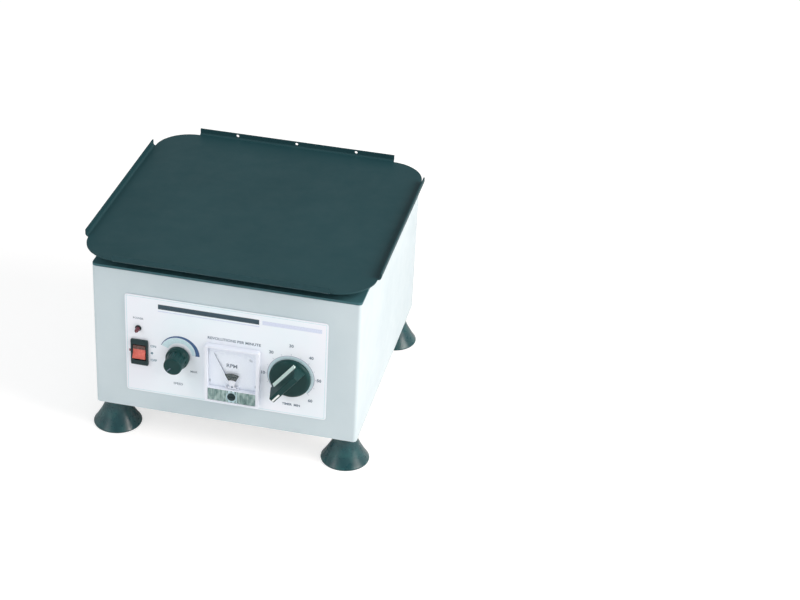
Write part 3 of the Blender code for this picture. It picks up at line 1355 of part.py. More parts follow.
def make_control_board():
    """The speed control board on four posts, with its heat sink, capacitor and terminals."""
    bottom = BASE_TOP + SEAT_GAP
    board_low = bottom + BOARD_POST_HEIGHT
    board_top = board_low + BOARD_THICKNESS
    at = empty("board_place", (BOARD_X, BOARD_Y, 0), parent=CABINET)
    half_x = BOARD_WIDTH / 2
    half_y = BOARD_DEPTH / 2
    board = block("speed_board", (-half_x, -half_y, board_low), (half_x, half_y, board_top), at, BOARD_GREEN)
    for corner, x, y in four_corners(half_x - BOARD_POST_INSET, half_y - BOARD_POST_INSET):
        post_top = board_low + BOARD_THICKNESS / 2
        join(board, rod("post_" + corner, BOARD_POST_RADIUS, bottom, post_top, at, centre=(x, y), steps=10))
    seat = board_low + BOARD_THICKNESS / 2
    sink_x = -half_x * 0.55
    sink = block(
        "heat_sink",
        (sink_x - HEAT_SINK_WIDTH / 2, -HEAT_SINK_LENGTH / 2, seat),
        (sink_x + HEAT_SINK_WIDTH / 2, HEAT_SINK_LENGTH / 2, board_top + HEAT_SINK_HEIGHT),
        at,
    )
    capacitor_at = (half_x * 0.35, half_y * 0.4)
    capacitor_top = board_top + CAPACITOR_HEIGHT
    capacitor = rod("capacitor", CAPACITOR_RADIUS, seat, capacitor_top, at, centre=capacitor_at, steps=16)
    terminal_y = -half_y + TERMINAL_WIDTH
    terminal = block(
        "terminals",
        (-TERMINAL_LENGTH / 2, terminal_y - TERMINAL_WIDTH / 2, seat),
        (TERMINAL_LENGTH / 2, terminal_y + TERMINAL_WIDTH / 2, board_top + TERMINAL_HEIGHT),
        at,
    )
    join(board, sink, capacitor, terminal)


def make_transformer():
    """A frame transformer: the laminated core and the coil through it."""
    bottom = BASE_TOP + SEAT_GAP
    at = empty("transformer_place", (TRANSFORMER_X, TRANSFORMER_Y, bottom), parent=CABINET)
    core = block(
        "transformer",
        (-CORE_WIDTH / 2, -CORE_DEPTH / 2, 0),
        (CORE_WIDTH / 2, CORE_DEPTH / 2, CORE_HEIGHT),
        at,
        CORE_STEEL,
    )
    middle = CORE_HEIGHT / 2
    coil = block(
        "transformer_coil",
        (-COIL_WIDTH / 2, -COIL_DEPTH / 2, middle - COIL_HEIGHT / 2),
        (COIL_WIDTH / 2, COIL_DEPTH / 2, middle + COIL_HEIGHT / 2),
        at,
    )
    join(core, bevel(coil, 0.004, 2))


def make_power_inlet():
    """A snap-in appliance inlet with three blades in its mouth."""
    low = SEAT_GAP
    high = low + INLET_PLATE_THICKNESS
    outline = rounded(INLET_PLATE_WIDTH, INLET_PLATE_HEIGHT, [0.002] * 4, steps=3)
    inlet = solid_plate("power_inlet", [outline], low, high, INLET, BLACK_PLASTIC)
    half_x = INLET_BODY_WIDTH / 2
    half_y = INLET_BODY_HEIGHT / 2
    body = block("inlet_body", (-half_x, -half_y, -INLET_BODY_DEPTH), (half_x, half_y, low + EMBED), INLET)
    mouth_x = INLET_MOUTH_WIDTH / 2
    mouth_y = INLET_MOUTH_HEIGHT / 2
    mouth_low = high - INLET_MOUTH_DEPTH
    mouth = block("inlet_mouth", (-mouth_x, -mouth_y, mouth_low), (mouth_x, mouth_y, high + PAST), INLET)
    join(inlet, body)
    cut(inlet, mouth)
    for index, drop in ((-1, -1), (0, 1), (1, -1)):
        x = index * INLET_BLADE_PITCH
        y = drop * INLET_BLADE_DROP
        blade = block(
            f"inlet_blade_{index + 2}",
            (x - INLET_BLADE_WIDTH / 2, y - INLET_BLADE_HEIGHT / 2, mouth_low - EMBED),
            (x + INLET_BLADE_WIDTH / 2, y + INLET_BLADE_HEIGHT / 2, mouth_low + INLET_BLADE_LENGTH),
            INLET,
        )
        join(inlet, blade)


def make_fuse_holder():
    """A panel fuse holder: nut and cap outside, body inside."""
    nut_low = SEAT_GAP
    nut_top = nut_low + FUSE_NUT_HEIGHT
    cap_top = nut_top + FUSE_CAP_HEIGHT
    profile = [
        (0, cap_top),
        (FUSE_CAP_RADIUS - FUSE_CAP_ROUNDING, cap_top),
        (FUSE_CAP_RADIUS, cap_top - FUSE_CAP_ROUNDING),
        (FUSE_CAP_RADIUS, nut_top),
        (FUSE_NUT_RADIUS, nut_top),
        (FUSE_NUT_RADIUS, nut_low),
        (FUSE_BODY_RADIUS, nut_low),
        (FUSE_BODY_RADIUS, -FUSE_BODY_DEPTH),
        (0, -FUSE_BODY_DEPTH),
    ]
    turned("fuse_holder", profile, FUSE, BLACK_PLASTIC, steps=SMALL_STEPS)


make_feet()
make_cabinet_shell()
make_deck()
make_base()
make_rear_panel()
make_tray()
make_carrier()
make_drive()
make_idlers()
make_motor()
make_control_panel()
make_lamp()
make_switch()
make_speed_control()
make_timer()
make_meter()
make_control_board()
make_transformer()
make_power_inlet()
make_fuse_holder()
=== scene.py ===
"""Looks of a bench orbital rotator: finishes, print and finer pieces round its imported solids."""

import json
import math

import bmesh
import bpy
from mathutils import Matrix, Vector


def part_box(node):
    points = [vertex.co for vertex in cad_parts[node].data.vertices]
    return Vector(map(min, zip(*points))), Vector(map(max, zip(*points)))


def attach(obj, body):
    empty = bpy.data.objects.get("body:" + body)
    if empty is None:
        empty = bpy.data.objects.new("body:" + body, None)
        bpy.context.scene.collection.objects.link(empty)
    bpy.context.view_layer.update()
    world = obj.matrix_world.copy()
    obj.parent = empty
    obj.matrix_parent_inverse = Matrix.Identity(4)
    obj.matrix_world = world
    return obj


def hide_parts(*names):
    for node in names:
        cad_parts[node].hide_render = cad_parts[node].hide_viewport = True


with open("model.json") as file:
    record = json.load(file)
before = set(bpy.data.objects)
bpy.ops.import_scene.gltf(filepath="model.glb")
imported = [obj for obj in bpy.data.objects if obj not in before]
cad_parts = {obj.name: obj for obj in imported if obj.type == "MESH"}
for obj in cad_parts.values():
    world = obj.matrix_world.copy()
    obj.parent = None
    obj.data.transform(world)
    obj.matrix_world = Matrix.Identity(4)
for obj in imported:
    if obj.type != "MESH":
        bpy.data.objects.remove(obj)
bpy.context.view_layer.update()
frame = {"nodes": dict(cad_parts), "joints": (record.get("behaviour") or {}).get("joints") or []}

# The camera's aim, turn and reach
CAMERA_AIM = Vector((0.001975, 0.0077, 0.100))
CAMERA_YAW = math.radians(10.403)
CAMERA_PITCH = math.radians(30.906)
CAMERA_ROLL = math.radians(3.190)
CAMERA_DISTANCE = 2.2573
CAMERA_SLIDE_RIGHT = -0.1605
CAMERA_SLIDE_UP = -0.0070
CAMERA_LENS = 87.24

# Light levels and the lamps' places; what is glossy sees the ceiling dim between two heights
WHITE = (1, 1, 1, 1)
AMBIENT = 0.50
CEILING_GLOSS = 0.30
CEILING_FROM = 0.05
CEILING_TO = 0.50
FLOOR_SIZE = 14.0
FLOOR_LIFT = 0.45
FLOOR_GLOW = 1.45
KEY_PLACE = (2.1, -0.4, 1.5)
KEY_SIZE = 1.5
KEY_POWER = 60
KEY_TINT = (1.0, 0.92, 0.87)
FILL_PLACE = (-1.6, -1.9, 1.7)
FILL_SIZE = 1.6
FILL_POWER = 18
FILL_TINT = (1.0, 1.0, 1.0)

# Steps round turned pieces, and small sizes shared by many pieces
FINE = 96
MIDDLING = 48
INK = 0.00004
SUNK = 0.00002
MERGE = 0.000002
SEAT_GAP = 0.0003

NODES = frame["nodes"]
JOINTS = {joint["name"]: joint for joint in frame["joints"]}
CORNERS = ("front_left", "front_right", "rear_left", "rear_right")


def ink(red, green, blue):
    """A colour as a screen shows it, 0 to 255, made linear."""
    shares = (value / 255 for value in (red, green, blue))
    return tuple(s / 12.92 if s <= 0.04045 else ((s + 0.055) / 1.055) ** 2.4 for s in shares)


class Tree:
    """A node tree, and a short call that adds a node with its inputs."""

    def __init__(self, owner):
        owner.use_nodes = True
        self.nodes = owner.node_tree.nodes
        self.links = owner.node_tree.links

    def add(self, kind, inputs=None, **settings):
        node = self.nodes.new("ShaderNode" + kind)
        for key, value in settings.items():
            setattr(node, key, value)
        for socket, value in (inputs or {}).items():
            if isinstance(value, bpy.types.NodeSocket):
                self.links.new(value, node.inputs[socket])
            else:
                node.inputs[socket].default_value = value
        return node


# Finishes
class Finish(Tree):
    """A Principled material, and short calls for the nodes that vary it over the surface."""

    def __init__(self, name, colour, roughness, **sockets):
        self.made = bpy.data.materials.new(name)
        super().__init__(self.made)
        self.shader = self.nodes["Principled BSDF"]
        self.colour = colour
        self.roughness = roughness
        self.shader.inputs["Base Color"].default_value = (*colour, 1)
        self.shader.inputs["Roughness"].default_value = roughness
        for socket, value in sockets.items():
            self.shader.inputs[socket.replace("_", " ")].default_value = value
        self.place = self.add("TexCoord").outputs["Object"]

    def stretched(self, across, deep, high):
        """The place, scaled by axis, so that a pattern runs long where the number is small."""
        inputs = {"Vector": self.place, "Scale": (across, deep, high)}
        return self.add("Mapping", inputs).outputs["Vector"]

    def noise(self, scale, detail=3.0, place=None):
        inputs = {"Vector": place or self.place, "Scale": scale, "Detail": detail}
        return self.add("TexNoise", inputs).outputs["Fac"]

    def spread(self, value, low, high, start=0.3, stop=0.7):
        """A value from start to stop, spread over low to high."""
        inputs = {"Value": value, "From Min": start, "From Max": stop, "To Min": low, "To Max": high}
        return self.add("MapRange", inputs).outputs["Result"]

    def blend(self, factor, first, second):
        inputs = {"Factor": factor, 6: (*first, 1), 7: (*second, 1)}
        return self.add("Mix", inputs, data_type="RGBA").outputs[2]

    def tint(self, scale, share, towards=None):
        """Slow drifts of colour, by a share, between a darker and a lighter shade."""
        dark = tuple(c * (1 - share) for c in self.colour)
        light = towards or tuple(min(c * (1 + share), 1) for c in self.colour)
        self.paint(self.blend(self.spread(self.noise(scale, 4), 0, 1), dark, light))
        return self

    def paint(self, colour):
        self.links.new(colour, self.shader.inputs["Base Color"])
        return self

    def dull(self, value):
        self.links.new(value, self.shader.inputs["Roughness"])
        return self

    def polish(self, scale, spread):
        """Roughness that drifts by a spread either way."""
        low, high = self.roughness - spread, self.roughness + spread
        return self.dull(self.spread(self.noise(scale, 5), low, high))

    def grain(self, height, depth, strength=1.0):
        """A bump of a depth in metres from a height between 0 and 1; later ones lie on earlier ones."""
        bump = self.add("Bump", {"Height": height, "Distance": depth, "Strength": strength})
        before = self.shader.inputs["Normal"]
        if before.links:
            self.links.new(before.links[0].from_socket, bump.inputs["Normal"])
        self.links.new(bump.outputs["Normal"], before)
        return self


def white_enamel():
    """Baked white enamel on folded sheet: faint orange peel and slow drifts towards blue-green."""
    made = Finish("white_enamel", ink(195, 212, 219), 0.40, Coat_Weight=0.08, Coat_Roughness=0.25)
    made.tint(11, 0.035, ink(203, 218, 224)).polish(60, 0.06)
    made.grain(made.noise(850, 2), 0.00003, 0.5)
    return made.grain(made.noise(70, 2), 0.00010, 0.25).made


def dark_enamel(name, low, high):
    """Dark green-grey hammered enamel, worn a little lighter in places."""
    made = Finish(name, low, 0.55, Specular_IOR_Level=0.2)
    worn = made.spread(made.noise(9, 5), 0, 1, 0.35, 0.75)
    made.paint(made.blend(worn, low, high))
    made.polish(45, 0.07)
    made.grain(made.noise(1300, 2), 0.00003, 0.6)
    return made.grain(made.noise(160, 2), 0.00005, 0.3).made


def foot_rubber():
    """Dark rubber with a paler bloom in patches."""
    made = Finish("foot_rubber", ink(24, 70, 75), 0.30, Specular_IOR_Level=0.5)
    bloom = made.spread(made.noise(90, 6), 0, 1, 0.45, 0.8)
    made.paint(made.blend(bloom, ink(20, 66, 72), ink(38, 88, 90)))
    made.polish(140, 0.08)
    return made.grain(made.noise(900, 3), 0.00003, 0.5).made


def plain(name, colour, roughness, drift, wear, tooth, **sockets):
    """A finish with drifts of colour, drifts of polish and a fine bump, each given by its noise."""
    made = Finish(name, colour, roughness, **sockets)
    made.tint(*drift).polish(*wear)
    scale, detail, depth, strength = tooth
    return made.grain(made.noise(scale, detail), depth, strength).made


def printed_film():
    """The control plate's film: cool white, a shade bluer in places, with a fine matt tooth."""
    made = Finish("printed_film", ink(244, 249, 254), 0.34, Coat_Weight=0.08, Coat_Roughness=0.15)
    made.paint(made.blend(made.spread(made.noise(13, 3), 0, 1), ink(234, 248, 255), ink(243, 246, 255)))
    made.polish(220, 0.05)
    return made.grain(made.noise(2600, 2), 0.000008, 0.5).made


def print_ink(tone, *levels):
    """Screen-printed ink, a little uneven where it took less well."""
    return plain("ink_" + tone, ink(*levels), 0.45, (900, 0.10), (700, 0.05), (3000, 2, 0.000006, 0.4))


def band_plastic():
    """The strip under the meter's window: grey-green, with light and dark mottling."""
    made = Finish("band_plastic", ink(132, 160, 160), 0.42)
    mottled = made.spread(made.noise(230, 4, made.stretched(1, 1, 0.5)), 0, 1, 0.38, 0.62)
    made.paint(made.blend(mottled, ink(104, 136, 134), ink(168, 192, 190)))
    return made.polish(300, 0.06).grain(made.noise(1500, 2), 0.00002, 0.5).made


def clear_plastic():
    made = Finish("clear_plastic", (0.96, 0.98, 0.99), 0.06, Alpha=0.04, IOR=1.47)
    return made.polish(35, 0.02).grain(made.noise(45, 1), 0.00001, 0.1).made


def metal(name, colour, roughness, across, deep, high, depth=0.00001):
    """Bare metal with tool marks that run long where the stretch is small."""
    made = Finish(name, colour, roughness, Metallic=1.0)
    lines = made.noise(420, 4, made.stretched(across, deep, high))
    made.paint(made.blend(lines, tuple(c * 0.86 for c in colour), colour))
    made.dull(made.spread(lines, roughness - 0.07, roughness + 0.07))
    return made.grain(lines, depth, 0.4).made


def zinc_plate():
    """Bright zinc plate: a slow drift of blue and straw over a fine spangle."""
    made = Finish("zinc_plate", (0.62, 0.64, 0.66), 0.34, Metallic=1.0)
    drift = made.spread(made.noise(24, 3), 0, 1)
    made.paint(made.blend(drift, (0.60, 0.63, 0.67), (0.68, 0.67, 0.62)))
    cells = made.add("TexVoronoi", {"Vector": made.place, "Scale": 420.0}).outputs["Distance"]
    made.dull(made.spread(cells, 0.28, 0.44, 0.0, 1.0))
    return made.grain(cells, 0.00001, 0.3).made


def board_laminate():
    """Green solder mask with tracks under it."""
    made = Finish("board_laminate", ink(40, 104, 62), 0.32)
    bricks = {"Scale": 90.0, "Mortar Size": 0.03, "Row Height": 0.3, "Brick Width": 1.6}
    tracks = made.add("TexBrick", {"Vector": made.stretched(1, 1, 0), **bricks}).outputs["Fac"]
    made.paint(made.blend(tracks, ink(38, 100, 60), ink(74, 140, 84)))
    return made.polish(200, 0.05).grain(tracks, 0.00003, 0.5).made


def core_laminations():
    """Varnished laminations: a fine line for each sheet."""
    made = Finish("core_laminations", ink(92, 92, 96), 0.4, Metallic=0.6)
    waves = {"Vector": made.place, "Scale": 320.0, "Distortion": 0.6}
    sheets = made.add("TexWave", waves, bands_direction="Y").outputs["Fac"]
    made.paint(made.blend(sheets, ink(70, 70, 74), ink(112, 110, 112)))
    return made.polish(200, 0.06).grain(sheets, 0.00004, 0.5).made


WHITE_ENAMEL = white_enamel()
TRAY_ENAMEL = dark_enamel("tray_enamel", ink(30, 66, 72), ink(36, 71, 77))
# The deck takes the tray's dark enamel made lighter, as painted light that lifts the shadow cast by the
# tray onto the deck
DECK_ENAMEL_PAINTED_LIGHT = dark_enamel("deck_enamel", ink(60, 102, 109), ink(66, 107, 114))
FOOT_RUBBER = foot_rubber()
KNOB_PLASTIC = plain(
    "knob_plastic",
    ink(22, 60, 60),
    0.36,
    (120, 0.10),
    (260, 0.07),
    (1600, 2, 0.000015, 0.5),
    Specular_IOR_Level=0.2,
)
BLACK_PLASTIC = plain(
    "black_plastic",
    ink(24, 50, 53),
    0.38,
    (150, 0.08),
    (300, 0.07),
    (2200, 2, 0.000012, 0.5),
    Specular_IOR_Level=0.3,
)
PRINTED_FILM = printed_film()
INK_TEAL = print_ink("teal", 44, 70, 84)
INK_BLUE = print_ink("blue", 58, 96, 142)
INK_SEA = print_ink("sea", 118, 150, 166)
INK_PALE = print_ink("pale", 204, 232, 240)
INK_MIST = print_ink("mist", 214, 224, 244)
INK_GREY = print_ink("grey", 150, 164, 184)
INK_DUSK = print_ink("dusk", 104, 122, 140)
INK_RUST = print_ink("rust", 148, 64, 60)
INK_WHITE = print_ink("white", 236, 242, 242)
# A pale ink for the painted highlight beside the timer knob's grip
INK_PAINTED_HIGHLIGHT = print_ink("jade", 206, 230, 226)

# The lit red rocker, its ends in a darker red-brown as painted shade, and the pilot lamp's lens
ROCKER_PLASTIC = plain(
    "rocker_plastic",
    ink(206, 96, 82),
    0.26,
    (150, 0.12, ink(222, 116, 104)),
    (420, 0.05),
    (1800, 2, 0.000008, 0.4),
    Subsurface_Weight=0.2,
    Subsurface_Scale=0.002,
    Subsurface_Radius=(1.0, 0.3, 0.25),
)
# The rocker's ends: a darker copy of its red, as painted shade
ROCKER_PAINTED_SHADE = plain(
    "rocker_smoke", ink(92, 62, 56), 0.28, (240, 0.12), (420, 0.05), (1800, 2, 0.000008, 0.4)
)
LENS_PLASTIC = plain(
    "lens_plastic", ink(96, 44, 56), 0.16, (400, 0.15), (500, 0.04), (900, 1, 0.00001, 0.3), IOR=1.49
)
WHITE_PLASTIC = plain(
    "white_plastic", ink(230, 236, 247), 0.34, (60, 0.015), (160, 0.05), (1200, 2, 0.000008, 0.4)
)
BAND_PLASTIC = band_plastic()
CLEAR_PLASTIC = clear_plastic()
DIAL_CARD = plain("dial_card", ink(234, 243, 255), 0.6, (80, 0.012), (400, 0.06), (2000, 3, 0.00001, 0.5))
NEEDLE_PAINT = plain(
    "needle_paint", ink(104, 116, 138), 0.4, (300, 0.08), (500, 0.06), (1500, 2, 0.000006, 0.4)
)
TURNED_STEEL = metal("turned_steel", (0.56, 0.57, 0.58), 0.30, 0.3, 0.3, 3.0)
ALUMINIUM = metal("aluminium", (0.78, 0.79, 0.80), 0.36, 0.3, 0.3, 3.0)
BRASS = metal("plated_brass", (0.76, 0.66, 0.42), 0.28, 1.0, 0.2, 1.0)
ZINC_PLATE = zinc_plate()
BELT_RUBBER = plain("belt_rubber", ink(38, 38, 40), 0.7, (200, 0.15), (500, 0.08), (1200, 3, 0.00003, 0.6))
BOARD_LAMINATE = board_laminate()
CORE_LAMINATIONS = core_laminations()


# Ways of working
def deselect():
    bpy.ops.object.select_all(action="DESELECT")


def settle():
    """Put the active piece's place, turn and scale into its mesh."""
    bpy.ops.object.transform_apply(location=True, rotation=True, scale=True)


def only(piece):
    """Select one object and make it the active one."""
    deselect()
    piece.select_set(True)
    bpy.context.view_layer.objects.active = piece


def open_mesh(piece, kind="FACE", action="DESELECT"):
    """Into edit mode with nothing selected, or all of it."""
    only(piece)
    bpy.ops.object.mode_set(mode="EDIT")
    bpy.ops.mesh.select_mode(type=kind)
    bpy.ops.mesh.select_all(action=action)


def close_mesh():
    bpy.ops.object.mode_set(mode="OBJECT")


def pick(piece, kind, wanted):
    """Select the verts, edges or faces of the open mesh that wanted() says yes to."""
    cage = bmesh.from_edit_mesh(piece.data)
    for item in getattr(cage, kind):
        if wanted(item):
            item.select_set(True)
    cage.select_flush_mode()
    bmesh.update_edit_mesh(piece.data)


def named(name):
    piece = bpy.context.view_layer.objects.active
    piece.name = name
    piece.data.name = name
    return piece


def modify(piece, kind, **settings):
    """Add one modifier and apply it."""
    only(piece)
    made = piece.modifiers.new(kind.lower(), kind)
    for key, value in settings.items():
        setattr(made, key, value)
    bpy.ops.object.modifier_apply(modifier=made.name)
    return piece


def block(name, low, high):
    """A box between two corners."""
    middle = (Vector(low) + Vector(high)) / 2
    size = Vector(high) - Vector(low)
    deselect()
    bpy.ops.mesh.primitive_cube_add(size=1, location=middle, scale=size)
    piece = named(name)
    settle()
    return piece


def rod(name, radius, low, high, centre=(0, 0), steps=FINE):
    """A round bar along Z."""
    deselect()
    place = (*centre, (low + high) / 2)
    bpy.ops.mesh.primitive_cone_add(
        vertices=steps, radius1=radius, radius2=radius, depth=high - low, location=place
    )
    piece = named(name)
    settle()
    return piece


def turned(name, profile, steps=FINE, closed=False):
    """Lathe work: a line of radii and heights, drawn out from one point and spun round Z."""
    deselect()
    bpy.ops.mesh.primitive_plane_add(size=0.001)
    piece = named(name)
    open_mesh(piece, "VERT")
    bpy.ops.mesh.select_all(action="SELECT")
    bpy.ops.mesh.merge(type="CENTER")
    radius, height = profile[0]
    bpy.ops.transform.translate(value=(radius, 0, height))
    for next_radius, next_height in [*profile[1:], *(profile[:1] if closed else [])]:
        step = (next_radius - radius, 0, next_height - height)
        bpy.ops.mesh.extrude_region_move(TRANSFORM_OT_translate={"value": step})
        radius, height = next_radius, next_height
    bpy.ops.mesh.select_all(action="SELECT")
    bpy.ops.mesh.spin(steps=steps, angle=2 * math.pi, center=(0, 0, 0), axis=(0, 0, 1))
    tidy_open_mesh()
    close_mesh()
    return piece


def tidy_open_mesh():
    bpy.ops.mesh.select_all(action="SELECT")
    bpy.ops.mesh.remove_doubles(threshold=MERGE)
    bpy.ops.mesh.normals_make_consistent(inside=False)


def flat_shape(name, loops, low, high):
    """A filled flat outline with a thickness; loops inside loops are holes."""
    curve = bpy.data.curves.new(name, "CURVE")
    curve.dimensions = "2D"
    curve.fill_mode = "BOTH"
    curve.extrude = (high - low) / 2
    for loop in loops:
        spline = curve.splines.new("POLY")
        spline.points.add(len(loop) - 1)
        for point, (x, y) in zip(spline.points, loop):
            point.co = (x, y, 0, 1)
        spline.use_cyclic_u = True
    piece = bpy.data.objects.new(name, curve)
    bpy.context.scene.collection.objects.link(piece)
    piece.location.z = (low + high) / 2
    return meshed(piece)


def meshed(piece):
    """Turn a curve or text into a closed mesh with its place applied."""
    only(piece)
    bpy.ops.object.convert(target="MESH")
    piece = bpy.context.view_layer.objects.active
    settle()
    open_mesh(piece)
    tidy_open_mesh()
    close_mesh()
    return piece


def arc(radius, start, stop, steps, centre=(0, 0), last=None):
    """Points along an arc, whose radius may run on to a last one."""
    growth = 0 if last is None else last - radius
    points = []
    for step in range(steps + 1):
        angle = start + (stop - start) * step / steps
        reach = radius + growth * step / steps
        points.append((centre[0] + reach * math.cos(angle), centre[1] + reach * math.sin(angle)))
    return points


def dot(radius, centre=(0, 0), sides=24):
    return arc(radius, 0, 2 * math.pi * (sides - 1) / sides, sides - 1, centre)


def bar(length, width, centre, angle=0.0):
    """The outline of a thin bar whose length runs along an angle."""
    along = Vector((math.cos(angle), math.sin(angle))) * length / 2
    side = Vector((-math.sin(angle), math.cos(angle))) * width / 2
    near = Vector(centre) - along
    far = Vector(centre) + along
    return [tuple(corner) for corner in (near - side, far - side, far + side, near + side)]


def soften(piece, width, segments=2, angle=35):
    """Round the sharp edges and keep the flat faces flat in the light."""
    limit = math.radians(angle)
    modify(piece, "BEVEL", width=width, segments=segments, limit_method="ANGLE", angle_limit=limit)
    return smooth(piece)


def smooth(piece, angle=42):
    only(piece)
    bpy.ops.object.shade_smooth_by_angle(angle=math.radians(angle))
    return modify(piece, "WEIGHTED_NORMAL", keep_sharp=True, weight=60)


def shape_with(piece, operation, *tools):
    """Cut with, or join to, other solids, which are used up."""
    for tool in tools:
        modify(piece, "BOOLEAN", object=tool, operation=operation, solver="EXACT")
        bpy.data.objects.remove(tool)
    return piece


def joined(name, pieces):
    """Several closed meshes kept as one piece."""
    deselect()
    for piece in pieces:
        piece.select_set(True)
    bpy.context.view_layer.objects.active = pieces[0]
    bpy.ops.object.join()
    return named(name)


def move(piece, matrix):
    """Put a piece in place, with its place in its mesh."""
    only(piece)
    piece.matrix_world = matrix
    settle()
    return piece


def facing_front(x, y, z, turn=0.0):
    """From a piece that faces up to one that faces the viewer, at a point on the front."""
    stand = Matrix.Rotation(math.radians(90), 4, "X")
    return Matrix.Translation((x, y, z)) @ stand @ Matrix.Rotation(turn, 4, "Z")


def facing_rear(x, y, z):
    about = Matrix.Rotation(math.pi, 4, "Z") @ Matrix.Rotation(math.pi / 2, 4, "X")
    return Matrix.Translation((x, y, z)) @ about


def fit(piece, body, finish, slot, *nodes):
    """Give a piece its finish and body, and hide the nodes it stands for."""
    piece.data.materials.clear()
    piece.data.materials.append(finish)
    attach(piece, body)
    if nodes:
        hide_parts(*nodes)
    return piece


def recast(node, name):
    """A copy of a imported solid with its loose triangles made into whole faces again."""
    piece = bpy.data.objects.new(name, NODES[node].data.copy())
    bpy.context.scene.collection.objects.link(piece)
    piece.data.materials.clear()
    open_mesh(piece, action="SELECT")
    bpy.ops.mesh.remove_doubles(threshold=MERGE)
    bpy.ops.mesh.dissolve_limited(angle_limit=math.radians(0.4))
    close_mesh()
    return piece


def finish_where(piece, finish, wanted):
    """A second finish on the faces whose middle wanted() says yes to."""
    piece.data.materials.append(finish)
    index = len(piece.data.materials) - 1
    for face in piece.data.polygons:
        if wanted(face.center):
            face.material_index = index


def middle_of(node):
    low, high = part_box(node)
    return (low + high) / 2


def seat_of(node, rear=False):
    """A round node's seat on the front or the rear, its radius and its length."""
    low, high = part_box(node)
    middle = middle_of(node)
    return (middle.x, low.y if rear else high.y, middle.z), (high.x - low.x) / 2, high.y - low.y


def clothe(node, name, finish, slot, edge, segments=2, body="cabinet"):
    """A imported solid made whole, with its edges rounded, its finish and its body."""
    return fit(soften(recast(node, name), edge, segments), body, finish, slot, node)


# The frame's main levels
PANEL_LOW, PANEL_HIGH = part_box("control_panel")
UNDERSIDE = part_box("cabinet_shell")[0].z


# Cabinet
def make_cabinet():
    clothe("cabinet_shell", "cabinet_case", WHITE_ENAMEL, "white_paint", 0.0004, 3)
    clothe("rear_panel", "rear_cover", WHITE_ENAMEL, "white_paint", 0.0003)
    clothe("deck_plate", "top_deck", DECK_ENAMEL_PAINTED_LIGHT, "dark_paint", 0.0005)
    clothe("base_plate", "bottom_cover", ZINC_PLATE, "zinc_plate", 0.0003)
    clothe("control_panel", "control_plate", PRINTED_FILM, "printed_plate", 0.0003)


SCREW_RADIUS = 0.0033
SCREW_HEIGHT = 0.0019
SCREW_CROWN = ((0.0012, 0.0001), (0.0022, 0.0004), (0.0030, 0.0010))
SCREW_SUNK = 0.0004
RECESS_FLOOR = 0.0008
RECESS_TOP = 0.004
RECESS_WIDTH = 0.0008
RECESS_LENGTH = 0.0038
SCREW_INSET = 0.009
BASE_SCREW_INSET = 0.060


def pan_screw(name):
    """A pan-head screw with a cross recess, facing up."""
    profile = [(0, SCREW_HEIGHT)]
    profile += [(radius, SCREW_HEIGHT - drop) for radius, drop in SCREW_CROWN]
    profile += [(SCREW_RADIUS, 0.0003), (SCREW_RADIUS, -SCREW_SUNK), (0, -SCREW_SUNK)]
    screw = turned(name, profile, 32)
    slots = []
    for size in ((RECESS_WIDTH, RECESS_LENGTH), (RECESS_LENGTH, RECESS_WIDTH)):
        across, deep = size[0] / 2, size[1] / 2
        low = (-across, -deep, RECESS_FLOOR)
        slots.append(block(f"{name}_slot_{len(slots)}", low, (across, deep, RECESS_TOP)))
    shape_with(screw, "DIFFERENCE", *slots)
    return smooth(screw, 35)


def make_screws():
    """Six screws in the rear panel, and six under the base."""
    low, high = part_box("rear_panel")
    levels = (low.z + SCREW_INSET, (low.z + high.z) / 2, high.z - SCREW_INSET)
    rear = []
    for x in (low.x + SCREW_INSET, high.x - SCREW_INSET):
        rear += [facing_rear(x, high.y, z) for z in levels]
    low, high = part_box("base_plate")
    rows = (low.y + BASE_SCREW_INSET, (low.y + high.y) / 2, high.y - BASE_SCREW_INSET)
    upside_down = Matrix.Rotation(math.pi, 4, "X")
    base = []
    for x in (low.x + SCREW_INSET, high.x - SCREW_INSET):
        base += [Matrix.Translation((x, y, low.z)) @ upside_down for y in rows]
    for side, places in (("rear", rear), ("base", base)):
        for index, place in enumerate(places, 1):
            fit(move(pan_screw(f"{side}_screw_{index}"), place), "cabinet", ZINC_PLATE, "zinc_plate")


FOOT_NECK = 0.0138
FOOT_COLLAR = 0.0126
FOOT_BEAD = 0.0006
FOOT_FLARE_TOP = 0.027
FOOT_FLARE_POWER = 1.25
FOOT_RIM = 0.0022
FOOT_ROLL = ((0.0001, 0.0017), (0, 0.0011), (0.0003, 0.0003), (0.0011, 0), (0.005, 0), (0.006, 0.0006))
STUD_RADIUS = 0.003
NUT_RADIUS = 0.0055
NUT_LOW = 0.0023
NUT_HIGH = 0.0063


